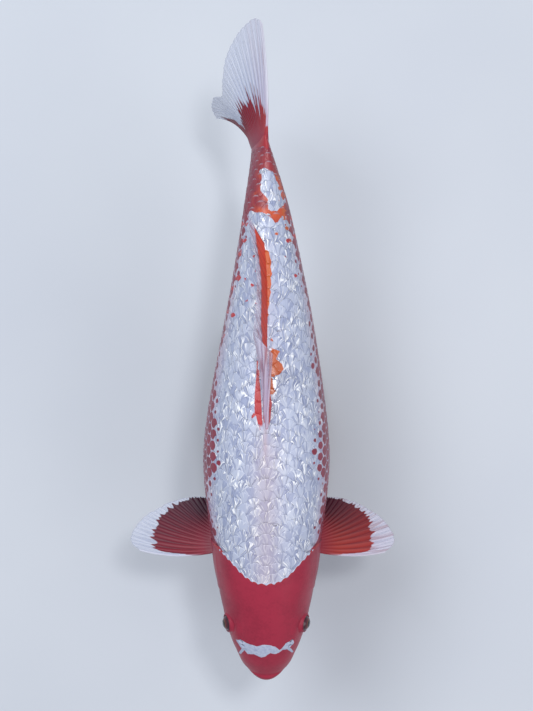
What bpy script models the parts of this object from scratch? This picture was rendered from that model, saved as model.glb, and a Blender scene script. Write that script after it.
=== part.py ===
"""A koi carp, life size, held over a flat base by two rods, as a museum shows it.

The fish faces -Y with its back up, so its left side is +X. The origin is the middle of the
base's underside. Body sizes are shares of the standard length, which runs from the snout
to the root of the tail fin.
"""

import math

import bmesh
import bpy
import numpy as np
from mathutils import Matrix, Vector

# Driving dimensions, in metres.
STANDARD_LENGTH = 0.520
SNOUT_Y = -0.220
AXIS_Z = 0.225
GAP = 0.0003

# Mesh fineness.
SIDES = 28

# The body's rings from the lips to the tail fin's root, each with its distance behind the
# snout, half width, heights of its top, bottom and widest line over the body's axis, how far
# its sides trail behind its top, and how far its lower edge trails behind its top.
RINGS = np.array([
    (0.0280, 0.0150, -0.0172, -0.0188, -0.0180, 0.0090, 0.0000),
    (0.0090, 0.0230, -0.0170, -0.0191, -0.0180, 0.0130, 0.0030),
    (-0.0018, 0.0272, -0.0155, -0.0207, -0.0180, 0.0148, 0.0050),
    (-0.0040, 0.0310, -0.0085, -0.0285, -0.0180, 0.0150, 0.0060),
    (0.0008, 0.0345, -0.0015, -0.0350, -0.0170, 0.0136, 0.0060),
    (0.0072, 0.0372, 0.0010, -0.0375, -0.0160, 0.0104, 0.0050),
    (0.0165, 0.0415, 0.0100, -0.0430, -0.0140, 0.0064, 0.0040),
    (0.0312, 0.0478, 0.0240, -0.0505, -0.0100, 0.0028, 0.0020),
    (0.0500, 0.0548, 0.0385, -0.0590, -0.0060, 0.0010, 0.0000),
    (0.0750, 0.0650, 0.0545, -0.0680, -0.0020, 0.0000, 0.0000),
    (0.1050, 0.0739, 0.0690, -0.0780, 0.0020, 0.0000, 0.0000),
    (0.1400, 0.0825, 0.0830, -0.0885, 0.0040, 0.0000, 0.0000),
    (0.1800, 0.0905, 0.0970, -0.0990, 0.0050, 0.0000, 0.0000),
    (0.2250, 0.0977, 0.1100, -0.1090, 0.0050, 0.0000, 0.0000),
    (0.2700, 0.1040, 0.1210, -0.1180, 0.0040, 0.0000, 0.0000),
    (0.3200, 0.1113, 0.1310, -0.1265, 0.0020, 0.0000, 0.0000),
    (0.3750, 0.1178, 0.1390, -0.1335, 0.0000, 0.0000, 0.0000),
    (0.4300, 0.1198, 0.1440, -0.1385, -0.0020, 0.0000, 0.0000),
    (0.4900, 0.1148, 0.1450, -0.1400, -0.0020, 0.0000, 0.0000),
    (0.5600, 0.1045, 0.1385, -0.1355, 0.0000, 0.0000, 0.0000),
    (0.6300, 0.0926, 0.1265, -0.1250, 0.0000, 0.0000, 0.0000),
    (0.7000, 0.0800, 0.1105, -0.1100, 0.0000, 0.0000, 0.0000),
    (0.7700, 0.0668, 0.0930, -0.0925, 0.0000, 0.0000, 0.0000),
    (0.8350, 0.0545, 0.0775, -0.0765, 0.0000, 0.0000, 0.0000),
    (0.8900, 0.0440, 0.0665, -0.0655, 0.0000, 0.0000, 0.0000),
    (0.9350, 0.0335, 0.0605, -0.0595, 0.0000, 0.0000, 0.0000),
    (0.9700, 0.0240, 0.0580, -0.0575, 0.0000, 0.0000, 0.0000),
    (1.0000, 0.0150, 0.0590, -0.0590, 0.0000, 0.0000, 0.0000),
    (1.0180, 0.0090, 0.0600, -0.0600, 0.0000, 0.0000, 0.0000),
])
LIP_RING = 2.0
CHEEK_RING = 8
LAST_RING = len(RINGS) - 1
TAIL_CUT = 0.855

# The spine bows a little to +X behind the middle, then the tail curls to -X and rolls.
BOW, BOW_MIDDLE, BOW_SPREAD = 0.0048, 0.70, 0.17
CURL, CURL_START = 0.0105, 0.84
ROLL, ROLL_START = math.radians(11.5), 0.86

# The eyes, as shares of the standard length.
EYE_T, EYE_X, EYE_Z, EYE_RADIUS = 0.1130, 0.0640, 0.0270, 0.0178

# How far back the head reaches over the nape, along the flank and under the throat.
GILL_ANGLES = np.radians([0, 10, 22, 37, 52, 70, 90, 110, 130, 150, 165, 180])
GILL_REACH = np.array([0.1965, 0.2000, 0.2120, 0.2355, 0.2525, 0.2640, 0.2670, 0.2590, 0.2367,
                       0.2068, 0.1846, 0.1700])

# The gill covers, between these angles round the body from the middle of the back.
COVER_TOP, COVER_BOTTOM = math.radians(50), math.radians(150)
COVER_DEPTH, SLAB_CLEAR = 0.0040, 0.0030

# Fins: each key ray has its place v along the fin, its root, its length, and the heading and
# elevation of its first and last stretch in degrees. A heading is from straight back, towards
# +X; a root is a place along the body and either a height over its axis or an angle round it.
DORSAL = (
    (0.00, 0.470, 0.138, 0.164, (-1, 34), (3, 12)), (0.10, 0.503, 0.136, 0.158, (-5, 33), (-5, 12)),
    (0.25, 0.552, 0.131, 0.118, (-12, 31), (-10, 14)),
    (0.45, 0.620, 0.120, 0.088, (-18, 30), (-14, 16)),
    (0.70, 0.705, 0.101, 0.074, (-22, 29), (-17, 13)),
    (1.00, 0.806, 0.076, 0.080, (-32, 18), (-27, -6)),
)
ANAL = (
    (0.00, 0.775, -0.083, 0.140, (2, -62), (0, -40)),
    (0.25, 0.795, -0.078, 0.128, (2, -56), (-2, -36)),
    (0.60, 0.822, -0.071, 0.088, (0, -48), (-4, -30)),
    (1.00, 0.850, -0.065, 0.056, (0, -38), (-4, -22)),
)
CAUDAL = (
    (0.00, 1.006, 0.052, 0.222, (5, 24), (-7, 14)),
    (0.10, 1.006, 0.042, 0.232, (2, 21), (-9, 14)),
    (0.25, 1.006, 0.026, 0.216, (-8, 15), (-17, 10)),
    (0.40, 1.006, 0.010, 0.184, (-17, 8), (-25, 2)),
    (0.55, 1.006, -0.006, 0.148, (-24, 0), (-33, -10)),
    (0.64, 1.006, -0.015, 0.138, (-26, -8), (-42, -22)),
    (0.80, 1.006, -0.031, 0.184, (-25, -18), (-58, -46)),
    (0.92, 1.006, -0.043, 0.198, (-23, -27), (-68, -54)),
    (1.00, 1.006, -0.052, 0.190, (-20, -34), (-74, -56)),
)
PECTORAL = (
    (0.00, 0.234, 116, 0.150, (105, -6), (80, -18)),
    (0.10, 0.239, 117, 0.172, (99, -7), (76, -19)),
    (0.25, 0.247, 119, 0.165, (85, -9), (69, -20)),
    (0.45, 0.257, 121, 0.134, (69, -11), (57, -20)),
    (0.70, 0.266, 124, 0.100, (48, -13), (39, -20)),
    (1.00, 0.276, 128, 0.067, (22, -14), (12, -20)),
)
# How long each side's first and last pectoral rays are, against the table.
PECTORAL_SHARES = {"left": (0.985, 0.95), "right": (1.09, 0.94)}
PELVIC = (
    (0.00, 0.492, 158, 0.132, (34, -40), (22, -26)),
    (0.20, 0.497, 160, 0.138, (28, -38), (16, -25)),
    (0.50, 0.505, 162, 0.118, (18, -35), (8, -22)),
    (1.00, 0.516, 165, 0.078, (4, -30), (-2, -16)),
)
ROOT_THICKNESS, TIP_THICKNESS, WEB_SHARE, WEB_LENGTH = 0.0034, 0.0010, 0.62, 0.975
FIN_INSET = 0.014

# The stand.
BASE_LENGTH, BASE_WIDTH, BASE_HEIGHT, BASE_EDGE = 0.290, 0.140, 0.016, 0.003
ROD_Y, ROD_RADIUS, ROD_SEAT, ROD_TOP = 0.060, 0.0040, 0.010, 0.200
COLLAR_RADIUS, COLLAR_HEIGHT = 0.010, 0.004


def clear_scene():
    for obj in list(bpy.data.objects):
        bpy.data.objects.remove(obj)


def collection(name):
    made = bpy.data.collections.new(name)
    bpy.context.scene.collection.children.link(made)
    return made


def material(name, colour, roughness, metallic=0.0):
    made = bpy.data.materials.new(name)
    made.use_nodes = True
    shader = made.node_tree.nodes["Principled BSDF"]
    shader.inputs["Base Color"].default_value = (*colour, 1.0)
    shader.inputs["Roughness"].default_value = roughness
    shader.inputs["Metallic"].default_value = metallic
    return made


def add_object(name, bm, finish, home, smooth=True):
    """The bmesh as a named object in the collection home, smooth apart from its sharp edges."""
    mesh = bpy.data.meshes.new(name)
    bm.to_mesh(mesh)
    bm.free()
    if smooth:
        mesh.shade_smooth()
        mesh.set_sharp_from_angle(angle=math.radians(40))
    if finish:
        mesh.materials.append(finish)
    obj = bpy.data.objects.new(name, mesh)
    home.objects.link(obj)
    return obj


def as_cutter(obj):
    obj.hide_render = True
    obj.display_type = "WIRE"
    return obj


def boolean(obj, cutter, operation="DIFFERENCE"):
    made = obj.modifiers.new(f"{operation.lower()}_{cutter.name}", "BOOLEAN")
    made.operation = operation
    made.solver = "EXACT"
    made.object = cutter


def smoothstep(x):
    x = np.clip(x, 0.0, 1.0)
    return x * x * (3 - 2 * x)


def through(places, values, at):
    """A smooth curve through values at places: cubic pieces with the neighbours' slopes."""
    at = np.clip(at, places[0], places[-1])
    slopes = np.gradient(values, places, axis=0)
    i = np.clip(np.searchsorted(places, at, side="right") - 1, 0, len(places) - 2)
    step = places[i + 1] - places[i]
    s = (at - places[i]) / step
    if values.ndim > 1:
        s, step = s[..., None], step[..., None]
    return ((1 + 2 * s) * (1 - s) ** 2 * values[i] + s * (1 - s) ** 2 * step * slopes[i]
            + s * s * (3 - 2 * s) * values[i + 1] - s * s * (1 - s) * step * slopes[i + 1])


def ring_sizes(r):
    return np.moveaxis(through(np.arange(len(RINGS), dtype=float), RINGS, r), -1, 0)


RING_STEPS = np.linspace(5, LAST_RING, 2000)
RING_PLACES = ring_sizes(RING_STEPS)[0]


def ring_at(t):
    """The ring number at distance t behind the snout, as a share of the standard length."""
    return np.interp(t, RING_PLACES, RING_STEPS)


def sway(t):
    """How far the spine is bent to +X: a bow behind the middle, less the tail's curl."""
    bow = BOW * np.exp(-(((t - BOW_MIDDLE) / BOW_SPREAD) ** 2))
    return bow - CURL * (np.maximum(t - CURL_START, 0) / (1 - CURL_START)) ** 2


def placed(t, x, z):
    """Body coordinates, as shares of the standard length, in metres in the part's frame."""
    roll = ROLL * smoothstep((t - ROLL_START) / (1 - ROLL_START))
    across = sway(t) + x * np.cos(roll) + z * np.sin(roll)
    up = z * np.cos(roll) - x * np.sin(roll)
    return np.stack([across * STANDARD_LENGTH, SNOUT_Y + t * STANDARD_LENGTH,
                     AXIS_Z + up * STANDARD_LENGTH], axis=-1)


def surface(r, theta, grow=0.0):
    """The body's surface at ring r and angle theta from the top, grown by metres.

    Each ring is a superellipse whose upper and lower halves have heights of their own.
    """
    t, half, top, bottom, wide, trail, chin = ring_sizes(np.asarray(r, float))
    grow = grow / STANDARD_LENGTH
    power = 2 / (2.0 + 0.30 * smoothstep((t - 0.05) / 0.20) * (1 - smoothstep((t - 0.7) / 0.25)))
    s, c = np.sin(theta), np.cos(theta)
    reach = np.where(c > 0, top - wide + grow, wide - bottom + grow)
    x = (half + grow) * np.sign(s) * np.abs(s) ** power
    z = wide + reach * np.sign(c) * np.abs(c) ** power
    return placed(t + trail * s * s + chin * (1 - c) / 2, x, z)


def gill_line(theta):
    """How far back the head reaches at angle theta, from the nape or the throat to the flank."""
    return float(through(GILL_ANGLES, GILL_REACH, abs(theta)))


def cheek_line(theta):
    """The gill cover's front edge at angle theta: upright behind the eye, then forward."""
    return 0.174 - 0.052 * smoothstep((theta - math.radians(85)) / math.radians(70))


def loft(name, rows, front, rear, finish, home, grow=0.0):
    """A closed stretch of the body: a sphere's rings moved onto the body's surface.

    Each row gives the ring number for an angle; front and rear are the end points.
    """
    bm = bmesh.new()
    count = len(rows) + 1
    bmesh.ops.create_uvsphere(bm, u_segments=SIDES, v_segments=count, radius=1.0)
    for vert in bm.verts:
        row = round(math.acos(max(-1.0, min(1.0, vert.co.z))) / math.pi * count)
        theta = math.atan2(vert.co.x, vert.co.y)
        if row in (0, count):
            vert.co = Vector(rear if row else front)
        else:
            vert.co = Vector(surface(rows[row - 1](abs(theta)), theta, grow))
    return add_object(name, bm, finish, home)


def fixed_row(r):
    return lambda theta: r


def blend_row(start, share, shift=0.0):
    """A row this share of the way from ring start to the gill line, moved back by shift."""
    return lambda theta: start + (float(ring_at(gill_line(theta) + shift)) - start) * share


def rear_row(share, shift, end):
    """A row this share of the way from the gill line to the ring end."""
    return lambda theta: (1 - share) * float(ring_at(gill_line(theta) + shift)) + share * end


def make_head(finishes, parts, cutters):
    """The head, with the lower jaw, gill covers and eye sockets cut out of it."""
    lips = [LIP_RING, 2.5, 3.0, 3.5, 4.0, 4.5, 5.0, 5.5, 6.0, 7.0, CHEEK_RING]
    rows = [fixed_row(r) for r in lips] + [blend_row(CHEEK_RING, k / 5) for k in range(1, 6)]
    front, rear = placed(0.0075, 0.0, -0.018), placed(0.205, 0.0, 0.0)
    head = loft("head", rows, front, rear, finishes["head"], parts)
    jaw = loft("lower_jaw", rows, front, rear, finishes["head"], parts)
    boolean(jaw, jaw_block("jaw_block", cutters, 0.0), "INTERSECT")
    boolean(head, jaw_block("jaw_room", cutters, GAP))
    for side, sign in (("left", 1), ("right", -1)):
        cover = loft(f"gill_cover_{side}", rows, front, rear, finishes["head"], parts)
        boolean(cover, gill_slab(f"gill_slab_{side}", sign, cutters, 0.0), "INTERSECT")
        boolean(head, gill_slab(f"gill_room_{side}", sign, cutters, GAP))
        eye_ball(f"eye_{side}", sign, 0.0, finishes["eye"], parts)
        boolean(head, as_cutter(eye_ball(f"socket_{side}", sign, GAP, None, cutters)))
    return head


def jaw_block(name, home, grow):
    """A wedge under the mouth line, from in front of the lips to behind the chin."""
    bm = bmesh.new()
    bmesh.ops.create_cube(bm, size=1.0)
    mouth = -0.018
    corners = {(-1, 1): (-0.05, mouth), (1, 1): (0.042, mouth - 0.001),
               (-1, -1): (-0.05, -0.16), (1, -1): (0.105, -0.16)}
    for vert in bm.verts:
        t, z = corners[(round(vert.co.y * 2), round(vert.co.z * 2))]
        place = placed(t, 0.0, z)
        vert.co = Vector((vert.co.x * 0.2, place[1], place[2]))
    made = add_object(name, bm, None, home, smooth=False)
    if grow:
        for vert in made.data.vertices:
            vert.co += Vector((0, math.copysign(grow, vert.co.y - SNOUT_Y), grow))
    return as_cutter(made)


def gill_slab(name, sign, home, grow):
    """A curved slab over the gills, from clear of the skin down to the cover's inner face."""
    bm = bmesh.new()
    bmesh.ops.create_grid(bm, x_segments=8, y_segments=12, size=1.0)
    margin = grow / STANDARD_LENGTH
    spread = margin / 0.09
    for vert in bm.verts:
        along, around = (vert.co.x + 1) / 2, (vert.co.y + 1) / 2
        theta = COVER_TOP - spread + (COVER_BOTTOM - COVER_TOP + 2 * spread) * around
        start, end = cheek_line(theta) - margin, gill_line(theta) + 0.012
        r = ring_at(start + (end - start) * along)
        vert.co = Vector(surface(r, sign * theta, SLAB_CLEAR))
    if sign > 0:
        bmesh.ops.reverse_faces(bm, faces=bm.faces)
    slab = add_object(name, bm, None, home)
    shell = slab.modifiers.new("slab", "SOLIDIFY")
    shell.thickness = SLAB_CLEAR + COVER_DEPTH + grow
    shell.offset = -1
    return as_cutter(slab)


def eye_ball(name, sign, grow, finish, home):
    bm = bmesh.new()
    radius = EYE_RADIUS * STANDARD_LENGTH + grow
    bmesh.ops.create_uvsphere(bm, u_segments=16, v_segments=8, radius=radius)
    bmesh.ops.rotate(bm, verts=bm.verts, matrix=Matrix.Rotation(math.pi / 2, 3, "Y"))
    made = add_object(name, bm, finish, home)
    made.location = Vector(placed(EYE_T, sign * EYE_X, EYE_Z))
    return made


def direction(angles):
    heading, elevation = (np.radians(a) for a in angles)
    return np.stack([np.sin(heading) * np.cos(elevation), np.cos(heading) * np.cos(elevation),
                     np.sin(elevation)], axis=-1)


def fin_point(rays, root, u, v):
    """A point on a fin's middle surface, u along the ray at v, and the ray's length.

    The ray starts inside the body, leaves it in its first direction and ends in its last.
    """
    table = np.array([(k[0], k[1], k[2], k[3], *k[4], *k[5]) for k in rays])
    _, t, place, length, *angles = through(table[:, 0], table, np.asarray(v, float))
    first, last = direction(angles[:2]), direction(angles[2:])
    start = root(t, place)
    length = length * STANDARD_LENGTH
    out = u * (length + FIN_INSET) - FIN_INSET
    bend = max(out, 0.0) ** 2 / (2 * length)
    return start + first * out + (last - first) * bend


def fin(name, rays, root, ray_count, rows, finish, home, body, mirror=1,
        shares=(1.0, 1.0)):
    """A ribbed fin: a grid laid along its rays and thickened, and cut off at the body.

    The shares make one side's first and last rays longer or shorter than the other's.
    """
    bm = bmesh.new()
    columns = 2 * ray_count
    bmesh.ops.create_grid(bm, x_segments=rows, y_segments=columns, size=1.0)
    weights = []
    for vert in bm.verts:
        u, v = (vert.co.x + 1) / 2, (vert.co.y + 1) / 2
        column = round(v * columns)
        web = column % 2 == 0 and 0 < column < columns
        share = shares[0] + (shares[1] - shares[0]) * v
        x, y, z = fin_point(rays, root, u * share * (WEB_LENGTH if web else 1.0), v)
        vert.co = Vector((mirror * x, y, z))
        taper = 1 + (TIP_THICKNESS / ROOT_THICKNESS - 1) * math.sqrt(u)
        weights.append(taper * (WEB_SHARE if web else 1.0))
    made = add_object(name, bm, finish, home)
    group = made.vertex_groups.new(name="thickness")
    for index, weight in enumerate(weights):
        group.add([index], weight, "REPLACE")
    shell = made.modifiers.new("thickness", "SOLIDIFY")
    shell.thickness = ROOT_THICKNESS
    shell.offset = 0.0
    shell.vertex_group = group.name
    boolean(made, body)
    return made


def midline_root(t, height):
    return placed(t, 0.0, height)


def flank_root(t, angle):
    return surface(ring_at(t), np.radians(angle))


def make_fins(finishes, parts, body):
    red, median = finishes["fin"], midline_root
    fin("dorsal_fin", DORSAL, median, 12, 4, red, parts, body)
    fin("anal_fin", ANAL, median, 6, 4, red, parts, body)
    fin("caudal_fin", CAUDAL, median, 14, 6, red, parts, body)
    for side, sign in (("left", 1), ("right", -1)):
        fin(f"pectoral_fin_{side}", PECTORAL, flank_root, 10, 5, red, parts, body, sign,
            PECTORAL_SHARES[side])
        fin(f"pelvic_fin_{side}", PELVIC, flank_root, 7, 4, red, parts, body, sign)


def make_barbels(finishes, parts, body):
    """Two short feelers on the upper lip and two longer ones at the mouth's corners."""
    shapes = {
        "lip_barbel": ((0.016, 0.0250, -0.026), (0.020, 0.0345, -0.037), (0.027, 0.0340, -0.054)),
        "corner_barbel": ((0.034, 0.0300, -0.024), (0.040, 0.0410, -0.035), (0.047, 0.0415, -0.052),
                          (0.056, 0.0400, -0.072)),
    }
    for kind, places in shapes.items():
        for side, sign in (("left", 1), ("right", -1)):
            barbel(f"{kind}_{side}", places, sign, finishes["head"], parts, body)


def barbel(name, places, sign, finish, home, body):
    curve = bpy.data.curves.new(name, "CURVE")
    curve.dimensions = "3D"
    curve.bevel_depth = 0.0013
    curve.bevel_resolution = 2
    curve.use_fill_caps = True
    curve.resolution_u = 5
    spline = curve.splines.new("NURBS")
    spline.points.add(len(places) - 1)
    for index, (point, (t, x, z)) in enumerate(zip(spline.points, places)):
        point.co = (*placed(t, sign * x, z), 1.0)
        point.radius = 1.0 - 0.65 * index / (len(places) - 1)
    spline.use_endpoint_u = True
    spline.order_u = 3
    guide = bpy.data.objects.new(f"{name}_guide", curve)
    home.objects.link(guide)
    bpy.context.view_layer.update()
    graph = bpy.context.evaluated_depsgraph_get()
    mesh = bpy.data.meshes.new_from_object(guide.evaluated_get(graph))
    bpy.data.objects.remove(guide)
    bm = bmesh.new()
    bm.from_mesh(mesh)
    bmesh.ops.remove_doubles(bm, verts=bm.verts, dist=1e-5)
    bmesh.ops.recalc_face_normals(bm, faces=bm.faces)
    boolean(add_object(name, bm, finish, home), body)


def cylinder(name, radius, low, high, centre, finish, home, sides=24):
    bm = bmesh.new()
    bmesh.ops.create_cone(bm, cap_ends=True, segments=sides, radius1=radius, radius2=radius,
                          depth=high - low)
    made = add_object(name, bm, finish, home)
    made.location = (centre[0], centre[1], (low + high) / 2)
    return made


def make_stand(finishes, parts, cutters, body):
    """An oval base, and two rods that rise from collars on it to the belly."""
    bm = bmesh.new()
    bmesh.ops.create_cone(bm, cap_ends=True, segments=40, radius1=0.5, radius2=0.5, depth=1.0)
    bmesh.ops.scale(bm, verts=bm.verts, vec=(BASE_WIDTH, BASE_LENGTH, BASE_HEIGHT))
    bmesh.ops.translate(bm, verts=bm.verts, vec=(0, 0, BASE_HEIGHT / 2))
    base = add_object("stand_base", bm, finishes["base"], parts, smooth=False)
    edge = base.modifiers.new("edge", "BEVEL")
    edge.width = BASE_EDGE
    edge.segments = 2
    seat = BASE_HEIGHT - ROD_SEAT
    for end, y in (("front", -ROD_Y), ("rear", ROD_Y)):
        centre = (float(sway((y - SNOUT_Y) / STANDARD_LENGTH)) * STANDARD_LENGTH, y)
        rod = cylinder(f"stand_rod_{end}", ROD_RADIUS, seat + GAP, ROD_TOP, centre,
                       finishes["rod"], parts)
        boolean(rod, body)
        room = as_cutter(cylinder(f"rod_room_{end}", ROD_RADIUS + GAP, seat, ROD_TOP, centre,
                                  None, cutters))
        boolean(base, room)
        low = BASE_HEIGHT + GAP
        collar = cylinder(f"stand_collar_{end}", COLLAR_RADIUS, low, low + COLLAR_HEIGHT,
                          centre, finishes["rod"], parts)
        boolean(collar, room)


def make_body(finishes, parts, cutters):
    """The head, trunk and tail root, and the whole body grown by the gap as a cutter."""
    make_head(finishes, parts, cutters)
    shift = GAP * 1.5 / STANDARD_LENGTH
    cut = float(ring_at(TAIL_CUT))
    rows = [rear_row(k / 15, shift, cut) for k in range(16)]
    loft("trunk", rows, placed(0.205 + shift, 0.0, 0.0), placed(TAIL_CUT, 0.0, 0.0),
         finishes["trunk"], parts)
    start = float(ring_at(TAIL_CUT + shift))
    rows = [fixed_row(start + (LAST_RING - start) * k / 8) for k in range(9)]
    loft("tail_root", rows, placed(TAIL_CUT + shift, 0.0, 0.0), placed(1.020, 0.0, 0.0),
         finishes["trunk"], parts)
    rows = [fixed_row(LIP_RING + (LAST_RING - LIP_RING) * k / 52) for k in range(53)]
    grown = loft("grown_body", rows, placed(0.006, 0.0, -0.018),
                 placed(1.020 + shift, 0.0, 0.0), None, cutters, GAP)
    return as_cutter(grown)


def main():
    clear_scene()
    parts, cutters = collection("koi_carp"), collection("cutters")
    finishes = {
        "head": material("head_skin", (0.36, 0.035, 0.055), 0.28),
        "trunk": material("pearl_scales", (0.60, 0.64, 0.78), 0.30),
        "fin": material("fin_skin", (0.45, 0.12, 0.14), 0.35),
        "eye": material("eye", (0.03, 0.012, 0.012), 0.08),
        "base": material("dark_wood", (0.05, 0.025, 0.015), 0.45),
        "rod": material("steel", (0.62, 0.62, 0.64), 0.30, 1.0),
    }
    body = make_body(finishes, parts, cutters)
    make_fins(finishes, parts, body)
    make_barbels(finishes, parts, body)
    make_stand(finishes, parts, cutters, body)


main()
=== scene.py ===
"""A koi carp with its skin, scales, fins and eyes, on a walnut base with two steel rods.

The fish faces -Y with its back up, so its left side is +X. Lengths on the body are shares of
the standard length, from the snout to the tail fin's root, except where metres or millimetres
are named.
"""

import math

import bpy
import mathutils
import numpy as np
from bpy.props import FloatProperty, FloatVectorProperty, PointerProperty
from bpy.types import Operator, Panel, PropertyGroup
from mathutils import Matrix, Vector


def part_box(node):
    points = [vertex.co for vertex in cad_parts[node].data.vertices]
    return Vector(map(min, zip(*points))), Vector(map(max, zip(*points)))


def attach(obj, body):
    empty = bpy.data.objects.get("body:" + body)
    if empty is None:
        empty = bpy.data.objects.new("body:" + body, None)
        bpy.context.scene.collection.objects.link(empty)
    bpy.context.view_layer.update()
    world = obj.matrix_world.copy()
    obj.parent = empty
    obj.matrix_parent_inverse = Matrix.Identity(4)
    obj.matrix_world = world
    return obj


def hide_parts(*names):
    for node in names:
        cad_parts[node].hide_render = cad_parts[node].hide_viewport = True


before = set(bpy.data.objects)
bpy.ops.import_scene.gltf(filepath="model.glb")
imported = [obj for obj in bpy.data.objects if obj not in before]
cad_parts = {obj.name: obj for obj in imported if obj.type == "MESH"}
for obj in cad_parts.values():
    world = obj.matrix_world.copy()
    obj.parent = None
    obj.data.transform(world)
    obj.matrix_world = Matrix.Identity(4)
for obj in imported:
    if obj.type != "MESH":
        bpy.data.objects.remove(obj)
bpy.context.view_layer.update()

bl_info = {
    "name": "Koi carp",
    "version": (1, 0, 0),
    "blender": (4, 5, 0),
    "location": "View3D > Sidebar > Koi",
    "description": "Skin, scales, fins and eyes of a koi carp, with its stand and stage",
    "category": "Object",
}

# ---------------------------------------------------------------------------------------
# The body's shape
# ---------------------------------------------------------------------------------------

# The standard length, and where the snout and the body's axis lie, in metres.
SL = 0.520
SNOUT_Y = -0.220
AXIS_Z = 0.225
TURN = 2 * math.pi

# How far back the head reaches, at angles from the top: over the nape, flank and throat.
GILL_ANGLES = np.radians([0, 10, 22, 37, 52, 70, 90, 110, 130, 150, 165, 180])
GILL_REACH = np.array([0.1965, 0.2000, 0.2120, 0.2355, 0.2525, 0.2640, 0.2670, 0.2590, 0.2367,
                       0.2068, 0.1846, 0.1700])

# The body's rings from inside the mouth to a thin end within the tail fin, each with its
# distance behind the snout, half width, heights of its top, bottom and widest line over the
# body's axis, how far its sides trail behind its top, and how far its lower edge does.
RINGS = np.array([
    (0.0280, 0.0150, -0.0172, -0.0188, -0.0180, 0.0090, 0.0000),
    (0.0090, 0.0230, -0.0170, -0.0191, -0.0180, 0.0130, 0.0030),
    (-0.0018, 0.0272, -0.0155, -0.0207, -0.0180, 0.0148, 0.0050),
    (-0.0040, 0.0310, -0.0085, -0.0285, -0.0180, 0.0150, 0.0060),
    (0.0008, 0.0345, -0.0015, -0.0350, -0.0170, 0.0136, 0.0060),
    (0.0072, 0.0372, 0.0010, -0.0375, -0.0160, 0.0104, 0.0050),
    (0.0165, 0.0415, 0.0100, -0.0430, -0.0140, 0.0064, 0.0040),
    (0.0312, 0.0478, 0.0240, -0.0505, -0.0100, 0.0028, 0.0020),
    (0.0500, 0.0548, 0.0385, -0.0590, -0.0060, 0.0010, 0.0000),
    (0.0750, 0.0650, 0.0545, -0.0680, -0.0020, 0.0000, 0.0000),
    (0.1050, 0.0739, 0.0690, -0.0780, 0.0020, 0.0000, 0.0000),
    (0.1400, 0.0825, 0.0830, -0.0885, 0.0040, 0.0000, 0.0000),
    (0.1800, 0.0905, 0.0970, -0.0990, 0.0050, 0.0000, 0.0000),
    (0.2250, 0.0977, 0.1100, -0.1090, 0.0050, 0.0000, 0.0000),
    (0.2700, 0.1040, 0.1210, -0.1180, 0.0040, 0.0000, 0.0000),
    (0.3200, 0.1113, 0.1310, -0.1265, 0.0020, 0.0000, 0.0000),
    (0.3750, 0.1178, 0.1390, -0.1335, 0.0000, 0.0000, 0.0000),
    (0.4300, 0.1198, 0.1440, -0.1385, -0.0020, 0.0000, 0.0000),
    (0.4900, 0.1148, 0.1450, -0.1400, -0.0020, 0.0000, 0.0000),
    (0.5600, 0.1045, 0.1385, -0.1355, 0.0000, 0.0000, 0.0000),
    (0.6300, 0.0926, 0.1265, -0.1250, 0.0000, 0.0000, 0.0000),
    (0.7000, 0.0800, 0.1105, -0.1100, 0.0000, 0.0000, 0.0000),
    (0.7700, 0.0668, 0.0930, -0.0925, 0.0000, 0.0000, 0.0000),
    (0.8350, 0.0545, 0.0775, -0.0765, 0.0000, 0.0000, 0.0000),
    (0.8900, 0.0440, 0.0665, -0.0655, 0.0000, 0.0000, 0.0000),
    (0.9350, 0.0335, 0.0605, -0.0595, 0.0000, 0.0000, 0.0000),
    (0.9700, 0.0240, 0.0580, -0.0575, 0.0000, 0.0000, 0.0000),
    (1.0000, 0.0150, 0.0590, -0.0590, 0.0000, 0.0000, 0.0000),
    (1.0180, 0.0090, 0.0600, -0.0600, 0.0000, 0.0000, 0.0000),
    (1.0260, 0.0048, 0.0570, -0.0570, 0.0000, 0.0000, 0.0000),
    (1.0320, 0.0010, 0.0530, -0.0530, 0.0000, 0.0000, 0.0000),
])
SNOUT_RING, CHEEK_RING, LAST_RING = 6.0, 8.0, len(RINGS) - 1.0

# The spine bows a little to +X behind the middle, then the tail curls to -X and rolls.
BOW, BOW_MIDDLE, BOW_SPREAD = 0.0048, 0.70, 0.17
CURL, CURL_START = 0.0105, 0.84
ROLL, ROLL_START = math.radians(11.5), 0.86

# The left eye's middle and the way it looks, and the nostrils' distance behind the snout and
# angle from the top.
EYE_T, EYE_X, EYE_Z = 0.1130, 0.0640, 0.0270
EYE_AXIS = np.array([0.93, -0.12, 0.33])
NOSTRIL_T, NOSTRIL_ANGLE = 0.0755, math.radians(44.5)
# How many points go once round the skin.
SKIN_COLUMNS = 236


def smoothstep(x):
    """0 below x = 0, 1 above x = 1, and a smooth rise between."""
    x = np.clip(x, 0.0, 1.0)
    return x * x * (3 - 2 * x)


def bell(distance, width):
    """1 at distance 0, falling off to each side as a bell curve."""
    return np.exp(-((distance / width) ** 2))


def through(places, values, at):
    """A smooth curve through values at places: cubic pieces with the neighbours' slopes."""
    at = np.clip(at, places[0], places[-1])
    slopes = np.gradient(values, places, axis=0)
    i = np.clip(np.searchsorted(places, at, side="right") - 1, 0, len(places) - 2)
    step = places[i + 1] - places[i]
    s = (at - places[i]) / step
    if values.ndim > 1:
        s, step = s[..., None], step[..., None]
    return ((1 + 2 * s) * (1 - s) ** 2 * values[i] + s * (1 - s) ** 2 * step * slopes[i]
            + s * s * (3 - 2 * s) * values[i + 1] - s * s * (1 - s) * step * slopes[i + 1])


def ring_sizes(r):
    """The ring's seven sizes at ring number r, between two rings too."""
    return np.moveaxis(through(np.arange(len(RINGS), dtype=float), RINGS, r), -1, 0)


RING_STEPS = np.linspace(5, LAST_RING, 2000)
RING_PLACES = ring_sizes(RING_STEPS)[0]


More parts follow.
